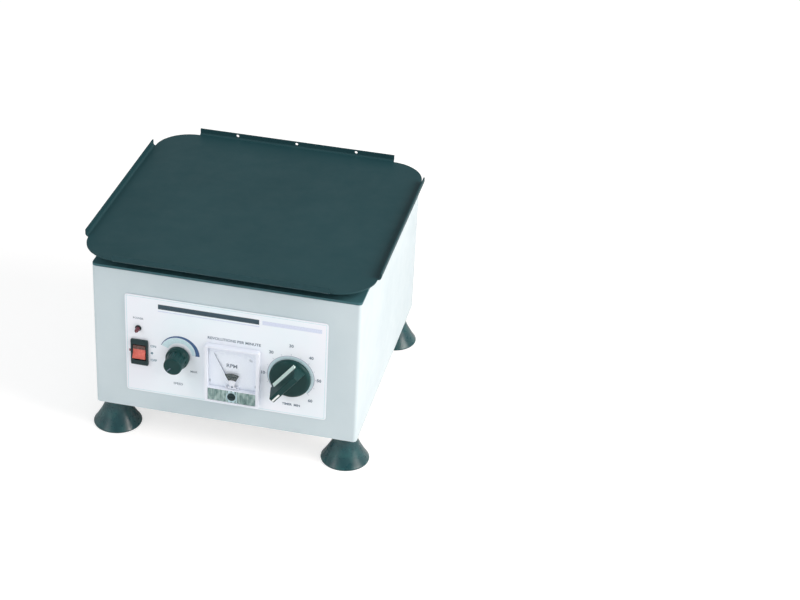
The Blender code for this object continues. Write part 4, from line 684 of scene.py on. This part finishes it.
def make_feet():
    """Flared rubber cones with a rolled rim, a bead at the neck and a hollow sole."""
    for corner in CORNERS:
        node = "foot_" + corner
        low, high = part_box(node)
        centre = (low + high) / 2
        rim = (high.x - low.x) / 2
        top = UNDERSIDE - SEAT_GAP
        profile = [(0, high.z), (STUD_RADIUS - 0.0005, high.z), (STUD_RADIUS, high.z - 0.0006)]
        profile += [(STUD_RADIUS, top - 0.0005), (0.0105, top - 0.0005), (0.0108, top)]
        profile += [(FOOT_COLLAR, top), (FOOT_NECK, top - 0.0012), (FOOT_NECK, 0.0315)]
        profile += [(FOOT_NECK + FOOT_BEAD, 0.0309), (FOOT_NECK + FOOT_BEAD, 0.0295), (FOOT_NECK, 0.0288)]
        steps = 16
        for step in range(steps + 1):
            share = step / steps
            radius = FOOT_NECK + (rim - 0.0006 - FOOT_NECK) * share**FOOT_FLARE_POWER
            profile.append((radius, FOOT_FLARE_TOP + (FOOT_RIM - FOOT_FLARE_TOP) * share))
        profile += [(rim - inset, height) for inset, height in FOOT_ROLL]
        profile += [(rim - 0.009, 0.0016), (0.006, 0.0036), (0, 0.004)]
        foot = turned("rubber_" + node, profile)
        smooth(foot, 50)
        move(foot, Matrix.Translation((centre.x, centre.y, 0)))
        fit(foot, "cabinet", FOOT_RUBBER, "black_rubber", node)
        finish_where(foot, ZINC_PLATE, lambda c: c.z > top + 0.0001)
        low, high = UNDERSIDE + NUT_LOW, UNDERSIDE + NUT_HIGH
        nut = rod("nut_" + corner, NUT_RADIUS, low, high, (centre.x, centre.y), 6)
        fit(soften(nut, 0.0004), "cabinet", ZINC_PLATE, "zinc_plate")


# Tray
TRAY_SHEET = 0.0015
TRAY_CORNER = 0.046
TRAY_BEND = 0.0025
TRAY_HOLE_RADIUS = 0.0018
TRAY_HOLE_PITCH = 0.073
TRAY_HOLE_DROP = 0.0030


def make_tray():
    """A pressed sheet with round corners and four sides bent up between them."""
    low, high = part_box("tray")
    middle = (low + high) / 2
    inset = TRAY_SHEET + TRAY_BEND
    face = low.z + TRAY_SHEET
    deselect()
    flat = (high.x - low.x - 2 * inset, high.y - low.y - 2 * inset, 1)
    bpy.ops.mesh.primitive_plane_add(size=1, location=(middle.x, middle.y, face))
    tray = named("tray_sheet")
    tray.scale = flat
    settle()
    open_mesh(tray, "VERT", "SELECT")
    bpy.ops.mesh.bevel(affect="VERTICES", offset=TRAY_CORNER - inset, segments=28, profile=0.5)
    close_mesh()
    for across, deep in ((1, 0), (-1, 0), (0, 1), (0, -1)):
        outward = Vector((across, deep, 0))
        reach = (flat[0] if across else flat[1]) / 2
        open_mesh(tray, "EDGE")

        def on_side(edge):
            ends = [(vert.co - middle).dot(outward) for vert in edge.verts]
            return min(ends) > reach - 0.0001 and edge.calc_length() > TRAY_CORNER

        pick(tray, "edges", on_side)
        reached = Vector((0, 0, 0))
        steps = 8
        for step in range(1, steps + 1):
            angle = math.pi / 2 * step / steps
            target = outward * TRAY_BEND * math.sin(angle)
            target.z = TRAY_BEND * (1 - math.cos(angle))
            bpy.ops.mesh.extrude_region_move(TRANSFORM_OT_translate={"value": target - reached})
            reached = target
        rise = high.z - face - TRAY_BEND
        bpy.ops.mesh.extrude_region_move(TRANSFORM_OT_translate={"value": (0, 0, rise)})
        close_mesh()
    open_mesh(tray, action="SELECT")
    bpy.ops.mesh.normals_make_consistent(inside=False)
    close_mesh()
    if max(tray.data.polygons, key=lambda side: side.area).normal.z < 0:
        open_mesh(tray, action="SELECT")
        bpy.ops.mesh.flip_normals()
        close_mesh()
    modify(tray, "SOLIDIFY", thickness=TRAY_SHEET, offset=-1, use_even_offset=True)
    holes = []
    for index in (-1, 0, 1):
        hole = rod(f"tray_hole_{index}", TRAY_HOLE_RADIUS, -0.004, 0.004, steps=MIDDLING)
        centre = (index * TRAY_HOLE_PITCH, high.y, high.z - TRAY_HOLE_DROP)
        holes.append(move(hole, facing_front(*centre)))
    shape_with(tray, "DIFFERENCE", *holes)
    soften(tray, 0.0003, 2, 40)
    fit(tray, "platform", TRAY_ENAMEL, "dark_paint", "tray")


# Print on the control plate
def printed(name, *loops):
    """Thin ink on its plane, in one or more outlines."""
    return flat_shape(name, loops, -SUNK, INK)


def lettering(name, words, size, at, angle=0.0, stretch=1.0, bold=0.0):
    """Small printed words or numbers, flat on their plane."""
    deselect()
    bpy.ops.object.text_add(location=(*at, (INK - SUNK) / 2), rotation=(0, 0, angle))
    text = named(name)
    text.data.body = words
    text.data.size = size
    text.data.offset = bold
    text.data.align_x = "CENTER"
    text.data.align_y = "CENTER"
    text.data.extrude = (INK + SUNK) / 2
    text.data.resolution_u = 3
    text.scale.x = stretch
    return meshed(text)


def lay(name, pieces, finish, slot, place):
    """Print joined as one piece and laid on its face."""
    layer = joined(name, pieces)
    smooth(layer, 30)
    fit(move(layer, place), "cabinet", finish, slot)


SPEED_AT = (middle_of("speed_knob").x, middle_of("speed_knob").z - UNDERSIDE)
LAMP_X = middle_of("lamp_bezel").x
SWITCH_X = middle_of("switch_frame").x
METER_X = middle_of("meter_cover").x
TIMER_AXIS = Vector(JOINTS["timer_turn"]["pos_m"])
TIMER_REST = math.radians(141)
TIMER_AT = (TIMER_AXIS.x, TIMER_AXIS.z - UNDERSIDE)
TIMER_NUMBER_REACH = (0.0316, 0.0392)
TIMER_TICK_RADIUS = 0.0282
TIMER_RING_RADIUS = 0.0266
TIMER_GLOW_INNER = 0.0215
TIMER_FULL_SCALE = 60
TIMER_STEP = 10
TIMER_ZERO = math.radians(225)
TIMER_SWEEP = math.radians(270)
SPEED_ARC_RADIUS = 0.0228
SPEED_ARC_AT = (SPEED_AT[0] + 0.0010, SPEED_AT[1] + 0.0026)
SPEED_ARC_START = math.radians(158)
SPEED_GLOW_END = math.radians(2)
SPEED_GLOW_INNER = 0.0140
PANEL_MIDDLE = Vector(((PANEL_LOW.x + PANEL_HIGH.x) / 2, (PANEL_LOW.z + PANEL_HIGH.z) / 2 - UNDERSIDE))
TITLE_AT = (PANEL_MIDDLE.x - 0.0194, 0.1372)
TITLE_LENGTH = 0.1137
BORDER_INSET = 0.0016
BORDER_WIDTH = 0.0006


def speed_outlines():
    """An arc that thickens as the speed grows, and the glow inside it."""
    start, radius, at = SPEED_ARC_START, SPEED_ARC_RADIUS, SPEED_ARC_AT
    outer = arc(radius, start, 0, 48, at)
    inner = arc(radius - 0.0006, start, 0, 48, at, radius - 0.0048)
    edge = arc(radius - 0.0010, start, SPEED_GLOW_END, 48, at, radius - 0.0052)
    edge += arc(SPEED_GLOW_INNER, SPEED_GLOW_END, start, 48, at)
    return outer + inner[::-1], edge


def sector(centre, outer_radius, inner_radius, start, stop, steps=64):
    return arc(outer_radius, start, stop, steps, centre) + arc(inner_radius, stop, start, steps, centre)


def on_timer_dial(angle, across, high):
    return (TIMER_AT[0] + across * math.cos(angle), TIMER_AT[1] + high * math.sin(angle))


def print_timer_scale():
    """Minutes from 0 to 60 round three quarters of a turn, with a tick for every five."""
    numbers = []
    count = TIMER_FULL_SCALE // TIMER_STEP
    for index in range(1, count + 1):
        at = on_timer_dial(TIMER_ZERO - TIMER_SWEEP * index / count, *TIMER_NUMBER_REACH)
        numbers.append(lettering(f"minutes_{index}", str(index * TIMER_STEP), 0.0050, at, bold=0.00018))
    ticks = []
    for index in range(2 * count + 1):
        angle = TIMER_ZERO - TIMER_SWEEP * index / (2 * count)
        length = 0.0022 if index % 2 == 0 else 0.0014
        centre = on_timer_dial(angle, TIMER_TICK_RADIUS, TIMER_TICK_RADIUS)
        ticks.append(bar(length, 0.00040, centre, angle))
    ends = (TIMER_ZERO, TIMER_ZERO - TIMER_SWEEP)
    ring = sector(TIMER_AT, TIMER_RING_RADIUS, TIMER_RING_RADIUS - 0.0006, *ends)
    glow = sector(TIMER_AT, TIMER_RING_RADIUS - 0.0008, TIMER_GLOW_INNER, *ends)
    fine = [printed("minute_ticks", *ticks), printed("minute_ring", ring)]
    return numbers, fine, printed("minute_glow", glow)


def plate_border():
    """A thin frame just inside the plate's edge."""
    width = PANEL_HIGH.x - PANEL_LOW.x - 2 * BORDER_INSET
    height = PANEL_HIGH.z - PANEL_LOW.z - 2 * BORDER_INSET
    inner = bar(width - 2 * BORDER_WIDTH, height - 2 * BORDER_WIDTH, PANEL_MIDDLE)
    return printed("plate_border", bar(width, height, PANEL_MIDDLE), inner)


def make_print():
    """The inks on the control plate, one piece for each ink."""
    numbers, fine, timer_glow = print_timer_scale()
    speed_arc, speed_glow = speed_outlines()
    title_x, title_z = TITLE_AT
    dark = [printed("title_rule", bar(TITLE_LENGTH, 0.0060, TITLE_AT))]
    dusk = [
        *numbers,
        lettering("timer_word", "TIMER  MIN", 0.0040, (TIMER_AT[0] + 0.001, 0.0375), bold=0.00016),
        lettering("power_word", "POWER", 0.0034, (LAMP_X, 0.1185), bold=0.00005),
        lettering("speed_word", "SPEED", 0.0040, (SPEED_AT[0] - 0.001, 0.0412), bold=0.00006),
        lettering("most_word", "MAX", 0.0036, (SPEED_AT[0] + 0.0170, 0.0600), bold=0.00008),
    ]
    words = "REVOLUTIONS PER MINUTE"
    dusk.append(lettering("scale_word", words, 0.0046, (METER_X + 0.0008, 0.1078), 0.0, 1.05, 0.00012))
    blue = [printed("speed_arc", speed_arc)]
    mist = [
        printed("title_line", bar(TITLE_LENGTH, 0.0012, (title_x, title_z - 0.0056))),
        printed("title_tail", bar(0.066, 0.0050, (title_x + 0.0935, title_z))),
    ]
    sea = [
        lettering("on_word", "ON", 0.0042, (SWITCH_X + 0.0155, 0.0850), bold=0.00012),
        lettering("off_word", "OFF", 0.0042, (SWITCH_X + 0.0157, 0.0668), bold=0.00012),
        printed("switch_dot", dot(0.0015, (SWITCH_X + 0.0138, 0.0760))),
    ]
    pale = [printed("speed_glow", speed_glow), plate_border(), timer_glow]
    rust = [printed("switch_dash", bar(0.0022, 0.0030, (SWITCH_X - 0.0112, 0.0762)))]
    place = facing_front(0, PANEL_LOW.y, UNDERSIDE)
    for name, pieces, finish in (
        ("print_dark", dark, INK_TEAL),
        ("print_words", dusk, INK_DUSK),
        ("print_blue", blue, INK_BLUE),
        ("print_mist", mist, INK_MIST),
        ("print_sea", sea, INK_SEA),
        ("print_pale", pale, INK_PALE),
        ("print_rust", rust, INK_RUST),
        ("print_fine", fine, INK_GREY),
    ):
        lay(name, pieces, finish, "printed_plate", place)


# Controls
def make_lamp():
    seat, radius, length = seat_of("lamp_lens")
    dome = length * 0.22
    profile = [(0, length)]
    steps = 8
    for step in range(1, steps + 1):
        angle = math.pi / 2 * step / steps
        profile.append((radius * math.sin(angle), length - dome * (1 - math.cos(angle))))
    profile += [(radius, 0.0004), (radius - 0.0004, 0), (0, 0)]
    lens = move(smooth(turned("lamp_dome", profile, MIDDLING)), facing_front(*seat))
    fit(lens, "cabinet", LENS_PLASTIC, "red_lens", "lamp_lens")
    bezel_seat, outer, height = seat_of("lamp_bezel")
    inner = radius + 0.0002
    ring = [(inner, height * 0.55), (inner + 0.0005, height), (outer - 0.0007, height)]
    ring += [(outer, height * 0.45), (outer, 0), (inner, 0)]
    bezel = smooth(turned("lamp_ring", ring, MIDDLING, closed=True))
    move(bezel, facing_front(seat[0], bezel_seat[1], seat[2]))
    fit(bezel, "cabinet", BLACK_PLASTIC, "black_plastic", "lamp_bezel")


def make_switch():
    clothe("switch_frame", "switch_surround", BLACK_PLASTIC, "black_plastic", 0.0004, 3)
    shade_rocker(clothe("switch_rocker", "red_rocker", ROCKER_PLASTIC, "red_plastic", 0.0004, 3, "rocker"))


def shade_rocker(rocker):
    """Cut the rocker's faces across near both ends, so that its ends take a darker finish as painted
    shade.
    """
    low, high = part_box("switch_rocker")
    middle = (low.z + high.z) / 2
    reach = (high.z - low.z) / 2
    ends = (middle + 0.45 * reach, middle - 0.80 * reach)
    for level in ends:
        open_mesh(rocker, action="SELECT")
        bpy.ops.mesh.bisect(plane_co=(0, 0, level), plane_no=(0, 0, 1))
        close_mesh()
    # The ends' darker finish is painted shade
    finish_where(rocker, ROCKER_PAINTED_SHADE, lambda c: c.z > ends[0] or c.z < ends[1])


SPEED_REST = math.radians(135)
SKIRT_SHARE = 0.33
CAP_SHARE = 0.85
CAP_TOP_SHARE = 0.79
FLUTES = 12


def spindle_bore(name):
    """The hole up a knob's back for its spindle."""
    return rod(name, 0.0034, -0.001, 0.0045, steps=MIDDLING)


def make_speed_knob():
    """A skirted knob with a fluted cap and a pale line."""
    seat, skirt, height = seat_of("speed_knob")
    step_height = height * SKIRT_SHARE
    cap = skirt * CAP_SHARE
    top = skirt * CAP_TOP_SHARE
    profile = [(0, height - 0.0004), (top * 0.55, height - 0.0003), (top - 0.0020, height)]
    profile += [(top - 0.0008, height - 0.0002), (top - 0.0002, height - 0.0008), (top, height - 0.0016)]
    profile += [(cap, step_height + 0.0008), (cap + 0.0005, step_height + 0.0001)]
    profile += [(skirt - 0.0008, step_height - 0.0005), (skirt - 0.0002, step_height - 0.0010)]
    profile += [(skirt, step_height - 0.0018), (skirt, 0.0003), (skirt - 0.0003, 0), (0, 0)]
    knob = turned("speed_knob_moulding", profile, FINE)
    flutes = []
    for index in range(FLUTES):
        angle = 2 * math.pi * (index + 0.5) / FLUTES + math.pi / 2
        reach = cap + 0.0009
        at = (reach * math.cos(angle), reach * math.sin(angle))
        flutes.append(rod(f"flute_{index}", 0.0017, step_height + 0.0006, height + 0.001, at, 24))
    line = block("speed_groove", (-0.0006, 0.003, height - 0.0006), (0.0006, skirt, height + 0.001))
    shape_with(knob, "DIFFERENCE", *flutes, spindle_bore("speed_bore"), line)
    soften(knob, 0.00025, 2, 38)
    line_low = (-0.00055, 0.0031, height - 0.0007)
    stripe = smooth(block("speed_stripe", line_low, (0.00055, top - 0.0004, height - 0.00035)))
    place = facing_front(*seat, SPEED_REST)
    fit(move(knob, place), "speed_control", KNOB_PLASTIC, "black_plastic", "speed_knob")
    fit(move(stripe, place), "speed_control", INK_DUSK, "black_plastic")


DISC_SHARE = 0.247
GRIP_FOOT = 0.0073
GRIP_TOP = 0.0032
GRIP_NOSE = 0.0255
GRIP_TAIL = 0.0200


def make_timer_knob():
    """A domed disc with a tall tapered grip, with a white line at its nose and a pale bead beside it as a
    painted highlight.
    """
    seat, radius, height = seat_of("timer_knob")
    disc = height * DISC_SHARE
    profile = [(0, disc), (radius - 0.0060, disc), (radius - 0.0035, disc - 0.0001)]
    profile += [(radius - 0.0018, disc - 0.0005), (radius - 0.0007, disc - 0.0013)]
    profile += [(radius, disc - 0.0024), (radius, 0.0003), (radius - 0.0003, 0), (0, 0)]
    knob = turned("timer_knob_moulding", profile, FINE)
    deselect()
    middle = (GRIP_NOSE - GRIP_TAIL) / 2
    length = GRIP_NOSE + GRIP_TAIL
    rise = height - disc / 2
    size = (2 * GRIP_FOOT, length, rise)
    bpy.ops.mesh.primitive_cube_add(size=1, location=(0, middle, height - rise / 2), scale=size)
    grip = named("timer_grip")
    settle()
    open_mesh(grip)
    pick(grip, "faces", lambda face: face.normal.z > 0.9)
    taper = (GRIP_TOP / GRIP_FOOT, 1 - 0.003 / length, 1)
    bpy.ops.transform.resize(value=taper, center_override=(0, middle, height))
    close_mesh()
    modify(grip, "BEVEL", width=0.0012, segments=4, limit_method="ANGLE", angle_limit=math.radians(30))
    shape_with(knob, "UNION", grip)
    line_low = (-0.0020, GRIP_NOSE - 0.0145, height - 0.0005)
    line_high = (0.0001, GRIP_NOSE - 0.0024, height - 0.00005)
    line = block("timer_line", line_low, line_high)
    groove = block("timer_line_groove", line_low, (line_high[0], line_high[1], height + 0.001))
    shape_with(knob, "DIFFERENCE", spindle_bore("timer_bore"), groove)
    smooth(knob, 32)
    smooth(line)
    side = soften(timer_side_line(disc), 0.0003, 2)
    place = facing_front(TIMER_AXIS.x, seat[1], TIMER_AXIS.z, TIMER_REST)
    fit(move(knob, place), "timer_control", KNOB_PLASTIC, "black_plastic", "timer_knob")
    fit(move(line, place), "timer_control", INK_WHITE, "black_plastic")
    # The pale bead is a painted highlight on the grip's upper left foot
    fit(move(side, place), "timer_control", INK_PAINTED_HIGHLIGHT, "black_plastic")


def timer_side_line(disc):
    """The pale bead in the corner between the disc and the grip's upper left side, a painted highlight
    where that side catches the light.
    """
    inner = GRIP_FOOT - 0.0014
    outer = GRIP_FOOT + 0.0021
    profile = [(inner, disc - 0.0003), (outer, disc - 0.0003), (outer, disc + 0.0002)]
    profile += [(inner + 0.0005, disc + 0.0028), (inner, disc + 0.0028)]
    bead = flat_shape("timer_side_line", [profile], -GRIP_NOSE * 0.70, GRIP_TAIL * 0.95)
    return move(bead, Matrix.Rotation(math.radians(90), 4, "X"))


# Meter
METER_SCALE_RADIUS = 0.0460
METER_NUMBER_DROP = 0.0046
METER_FULL_SCALE = 300
METER_SCALE_STEP = 50
METER_REST = math.radians(117)
TICKS_PER_STEP = 5
BRIDGE_INNER = 0.0086
SCREW_LAND = 0.0062


def make_meter():
    clothe("meter_case", "meter_housing", WHITE_PLASTIC, "white_plastic", 0.0004, 3)
    clothe("meter_window", "meter_glazing", CLEAR_PLASTIC, "clear_plastic", 0.0003)
    clothe("meter_dial", "meter_card", DIAL_CARD, "dial_card", 0.0001, 1)
    pivot = Vector(JOINTS["needle_swing"]["pos_m"])
    bridge = clothe("meter_bridge", "meter_pivot_cover", WHITE_PLASTIC, "black_plastic", 0.00012)
    finish_where(bridge, BLACK_PLASTIC, lambda c: math.hypot(c.x - pivot.x, c.z - pivot.z) > BRIDGE_INNER)
    marks = [printed("pivot_dot", dot(0.0013))]
    for side in (-1, 1):
        marks.append(printed(f"shield_dot_{side}", bar(0.0016, 0.0013, (side * 0.0056, -0.0009))))
    shield_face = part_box("meter_bridge")[0].y + 0.0003
    dots = move(joined("shield_dots", marks), facing_front(pivot.x, shield_face, pivot.z))
    fit(dots, "cabinet", INK_DUSK, "black_plastic")
    band = clothe("meter_cover", "meter_band", BAND_PLASTIC, "band_plastic", 0.0002)
    screw = middle_of("meter_zero_screw")
    finish_where(band, INK_PALE, lambda c: math.hypot(c.x - screw.x, c.z - screw.z) < SCREW_LAND)
    make_meter_scale()
    make_zero_screw()


def make_meter_scale():
    """The dial's line, ticks and numbers, pale but for its ends and its word."""
    swing = JOINTS["needle_swing"]
    pivot = swing["pos_m"]
    sweep = math.radians(swing["range_deg"][1])
    count = METER_FULL_SCALE // METER_SCALE_STEP

    def on_dial(share, radius):
        angle = METER_REST - sweep * share
        return angle, (radius * math.cos(angle), radius * math.sin(angle))

    rim = METER_SCALE_RADIUS
    line = sector((0, 0), rim, rim - 0.00025, METER_REST, METER_REST - sweep)
    ticks = []
    for index in range(TICKS_PER_STEP * count + 1):
        length = 0.0024 if index % TICKS_PER_STEP == 0 else 0.0012
        angle, centre = on_dial(index / (TICKS_PER_STEP * count), rim - length / 2)
        ticks.append(bar(length, 0.00030, centre, angle))
    numbers = []
    for index in range(count + 1):
        angle, at = on_dial(index / count, rim - METER_NUMBER_DROP)
        number = str(index * METER_SCALE_STEP)
        numbers.append(lettering(f"speed_number_{index}", number, 0.0030, at, angle - math.pi / 2))
    pale = [printed("meter_line", line), flat_shape("meter_ticks", ticks, -SUNK, INK * 1.2)]
    pale += numbers[1:-1]
    dark = [
        lettering("rpm_word", "RPM", 0.0064, (-0.0008, 0.0255), stretch=1.05, bold=0.00015),
        numbers[0],
        numbers[-1],
    ]
    for side in (-1, 1):
        dark.append(printed(f"side_mark_{side}", bar(0.0010, 0.0032, (side * 0.0258, 0.0030))))
    place = facing_front(pivot[0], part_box("meter_dial")[0].y, pivot[2])
    lay("meter_print", dark, INK_DUSK, "dial_card", place)
    lay("meter_fine_print", pale, INK_MIST, "dial_card", place)


def make_zero_screw():
    """A slotted screw head on a thinner neck."""
    seat, radius, length = seat_of("meter_zero_screw")
    head = 0.0012
    profile = [(0, length), (radius - 0.0009, length), (radius - 0.0003, length - 0.0002)]
    profile += [(radius, length - 0.0005), (radius, length - head), (radius / 2, length - head)]
    profile += [(radius / 2, 0.0003), (radius / 2 - 0.0003, 0), (0, 0)]
    screw = turned("zero_adjuster", profile, MIDDLING)
    reach = radius * 1.2
    slot = block("zero_slot", (-reach, -0.00055, length - head * 0.6), (reach, 0.00055, length + 0.001))
    shape_with(screw, "DIFFERENCE", slot)
    smooth(screw, 32)
    fit(move(screw, facing_front(*seat)), "zero_screw", BLACK_PLASTIC, "black_plastic", "meter_zero_screw")


# Rear and inner pieces
PIN_FIELD = (0.0084, 0.0045)
FUSE_CAP = 0.0085
FUSE_NUT = 0.0022
FUSE_CAP_RADIUS = 0.0068
KNURLS = 18


def make_rear_fittings():
    """The power inlet with its brass pins, and the fuse holder with its knurled cap."""
    inlet = clothe("power_inlet", "inlet_socket", BLACK_PLASTIC, "black_plastic", 0.0003)
    inlet_low, inlet_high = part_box("power_inlet")
    inlet_middle = middle_of("power_inlet")

    def on_pin(place):
        across = abs(place.x - inlet_middle.x)
        above = abs(place.z - inlet_middle.z)
        within = inlet_low.y + 0.004 < place.y < inlet_high.y - 0.003
        return within and across < PIN_FIELD[0] and above < PIN_FIELD[1]

    finish_where(inlet, BRASS, on_pin)
    seat, outer, length = seat_of("fuse_holder", rear=True)
    foot = length - FUSE_CAP
    profile = [(0, length - 0.0004), (0.0030, length - 0.0004), (0.0034, length), (0.0056, length)]
    profile += [(0.0065, length - 0.0004), (FUSE_CAP_RADIUS, length - 0.0012), (FUSE_CAP_RADIUS, foot)]
    profile += [(outer - 0.0003, foot), (outer, foot - 0.0003), (outer, foot - FUSE_NUT)]
    profile += [(0.006, foot - FUSE_NUT), (0.006, 0), (0, 0)]
    holder = turned("fuse_cap", profile, MIDDLING)
    knurls = []
    for index in range(KNURLS):
        angle = 2 * math.pi * index / KNURLS
        at = (0.0072 * math.cos(angle), 0.0072 * math.sin(angle))
        knurls.append(rod(f"knurl_{index}", 0.0007, foot + 0.0005, length + 0.001, at, 10))
    slot = block("fuse_slot", (-0.0050, -0.0006, length - 0.0014), (0.0050, 0.0006, length + 0.001))
    shape_with(holder, "DIFFERENCE", *knurls, slot)
    smooth(holder, 32)
    fit(move(holder, facing_rear(*seat)), "cabinet", BLACK_PLASTIC, "black_plastic", "fuse_holder")


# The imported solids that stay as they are, by finish
INNER = (
    (ZINC_PLATE, ("timer_body", "motor_bracket", "tray_carrier")),
    (NEEDLE_PAINT, ("meter_needle",)),
    (ALUMINIUM, ("motor_pulley", "drive_pulley", "drive_bearing_housing")),
    (BELT_RUBBER, ("drive_belt",)),
    (BOARD_LAMINATE, ("speed_board",)),
    (CORE_LAMINATIONS, ("transformer",)),
    (TURNED_STEEL, ("speed_potentiometer", "speed_spindle", "timer_spindle", "pin_bearing_drive")),
    (TURNED_STEEL, ("motor", "motor_shaft", "drive_crank", "counterweight")),
    (TURNED_STEEL, ("drive_bearing_upper", "drive_bearing_lower")),
    *((ALUMINIUM, ("idler_bearing_" + corner,)) for corner in CORNERS),
    *((TURNED_STEEL, ("idler_crank_" + corner, "pin_bearing_" + corner)) for corner in CORNERS),
)


def dress_inner_nodes():
    for finish, nodes in INNER:
        for node in nodes:
            materials = NODES[node].data.materials
            materials.clear()
            materials.append(finish)


# Stage
def make_floor():
    """A pale floor that fades to white for the camera and keeps a soft shadow."""
    deselect()
    bpy.ops.mesh.primitive_plane_add(size=FLOOR_SIZE)
    floor = named("floor")
    made = Finish("floor_white", (0.92, 0.92, 0.92), 0.9, Specular_IOR_Level=0.0)
    glow = made.add("Emission", {"Color": WHITE, "Strength": FLOOR_GLOW})
    seen = made.add("LightPath").outputs["Is Camera Ray"]
    share = made.add("Math", {0: seen, 1: FLOOR_LIFT}, operation="MULTIPLY").outputs[0]
    mixed = made.add("MixShader", {0: share, 1: made.shader.outputs[0], 2: glow.outputs[0]})
    made.links.new(mixed.outputs[0], made.nodes["Material Output"].inputs["Surface"])
    floor.data.materials.append(made.made)


def make_world():
    """White all round for the camera; gloss and glass see it dim towards the ceiling."""
    world = bpy.data.worlds.new("studio")
    bpy.context.scene.world = world
    tree = Tree(world)
    lit = tree.nodes["Background"]
    lit.inputs["Color"].default_value = WHITE
    lit.inputs["Strength"].default_value = AMBIENT
    direction = tree.add("TexCoord").outputs["Generated"]
    height = tree.add("SeparateXYZ", {0: direction}).outputs["Z"]
    dimming = {"From Min": CEILING_FROM, "From Max": CEILING_TO, "To Min": 1.0, "To Max": CEILING_GLOSS}
    gloss = tree.add("MapRange", {"Value": height, **dimming}).outputs["Result"]
    path = tree.add("LightPath").outputs
    seen = path["Is Camera Ray"]
    level = tree.add("Math", {0: seen, 1: gloss}, operation="MAXIMUM").outputs[0]
    shown = tree.add("Background", {"Color": WHITE, "Strength": level})
    for kind in ("Is Glossy Ray", "Is Transmission Ray"):
        seen = tree.add("Math", {0: seen, 1: path[kind]}, operation="MAXIMUM").outputs[0]
    mixed = tree.add("MixShader", {0: seen, 1: lit.outputs[0], 2: shown.outputs[0]})
    tree.links.new(mixed.outputs[0], tree.nodes["World Output"].inputs["Surface"])


def make_lamp_light(name, place, size, power, tint):
    bpy.ops.object.light_add(type="AREA", location=place)
    light = bpy.context.view_layer.objects.active
    light.name = name
    light.data.shape = "DISK"
    light.data.size = size
    light.data.energy = power
    light.data.color = tint
    light.rotation_euler = (CAMERA_AIM - Vector(place)).to_track_quat("-Z", "Y").to_euler()


def make_camera():
    back = Vector((math.sin(CAMERA_YAW), -math.cos(CAMERA_YAW), math.tan(CAMERA_PITCH))).normalized()
    level = Vector((math.cos(CAMERA_YAW), math.sin(CAMERA_YAW), 0))
    right = Matrix.Rotation(CAMERA_ROLL, 3, back) @ level
    up = back.cross(right)
    place = CAMERA_AIM + back * CAMERA_DISTANCE - right * CAMERA_SLIDE_RIGHT - up * CAMERA_SLIDE_UP
    turn = Matrix((right, up, back)).transposed()
    bpy.ops.object.camera_add(location=place, rotation=turn.to_euler())
    camera = bpy.context.view_layer.objects.active
    camera.data.lens = CAMERA_LENS
    camera.data.clip_end = 50
    bpy.context.scene.camera = camera


make_camera()
make_world()
make_lamp_light("key_light", KEY_PLACE, KEY_SIZE, KEY_POWER, KEY_TINT)
make_lamp_light("fill_light", FILL_PLACE, FILL_SIZE, FILL_POWER, FILL_TINT)
make_floor()
make_cabinet()
make_screws()
make_feet()
make_tray()
make_print()
make_lamp()
make_switch()
make_speed_knob()
make_timer_knob()
make_meter()
make_rear_fittings()
dress_inner_nodes()
bpy.context.scene.view_settings.view_transform = "Standard"
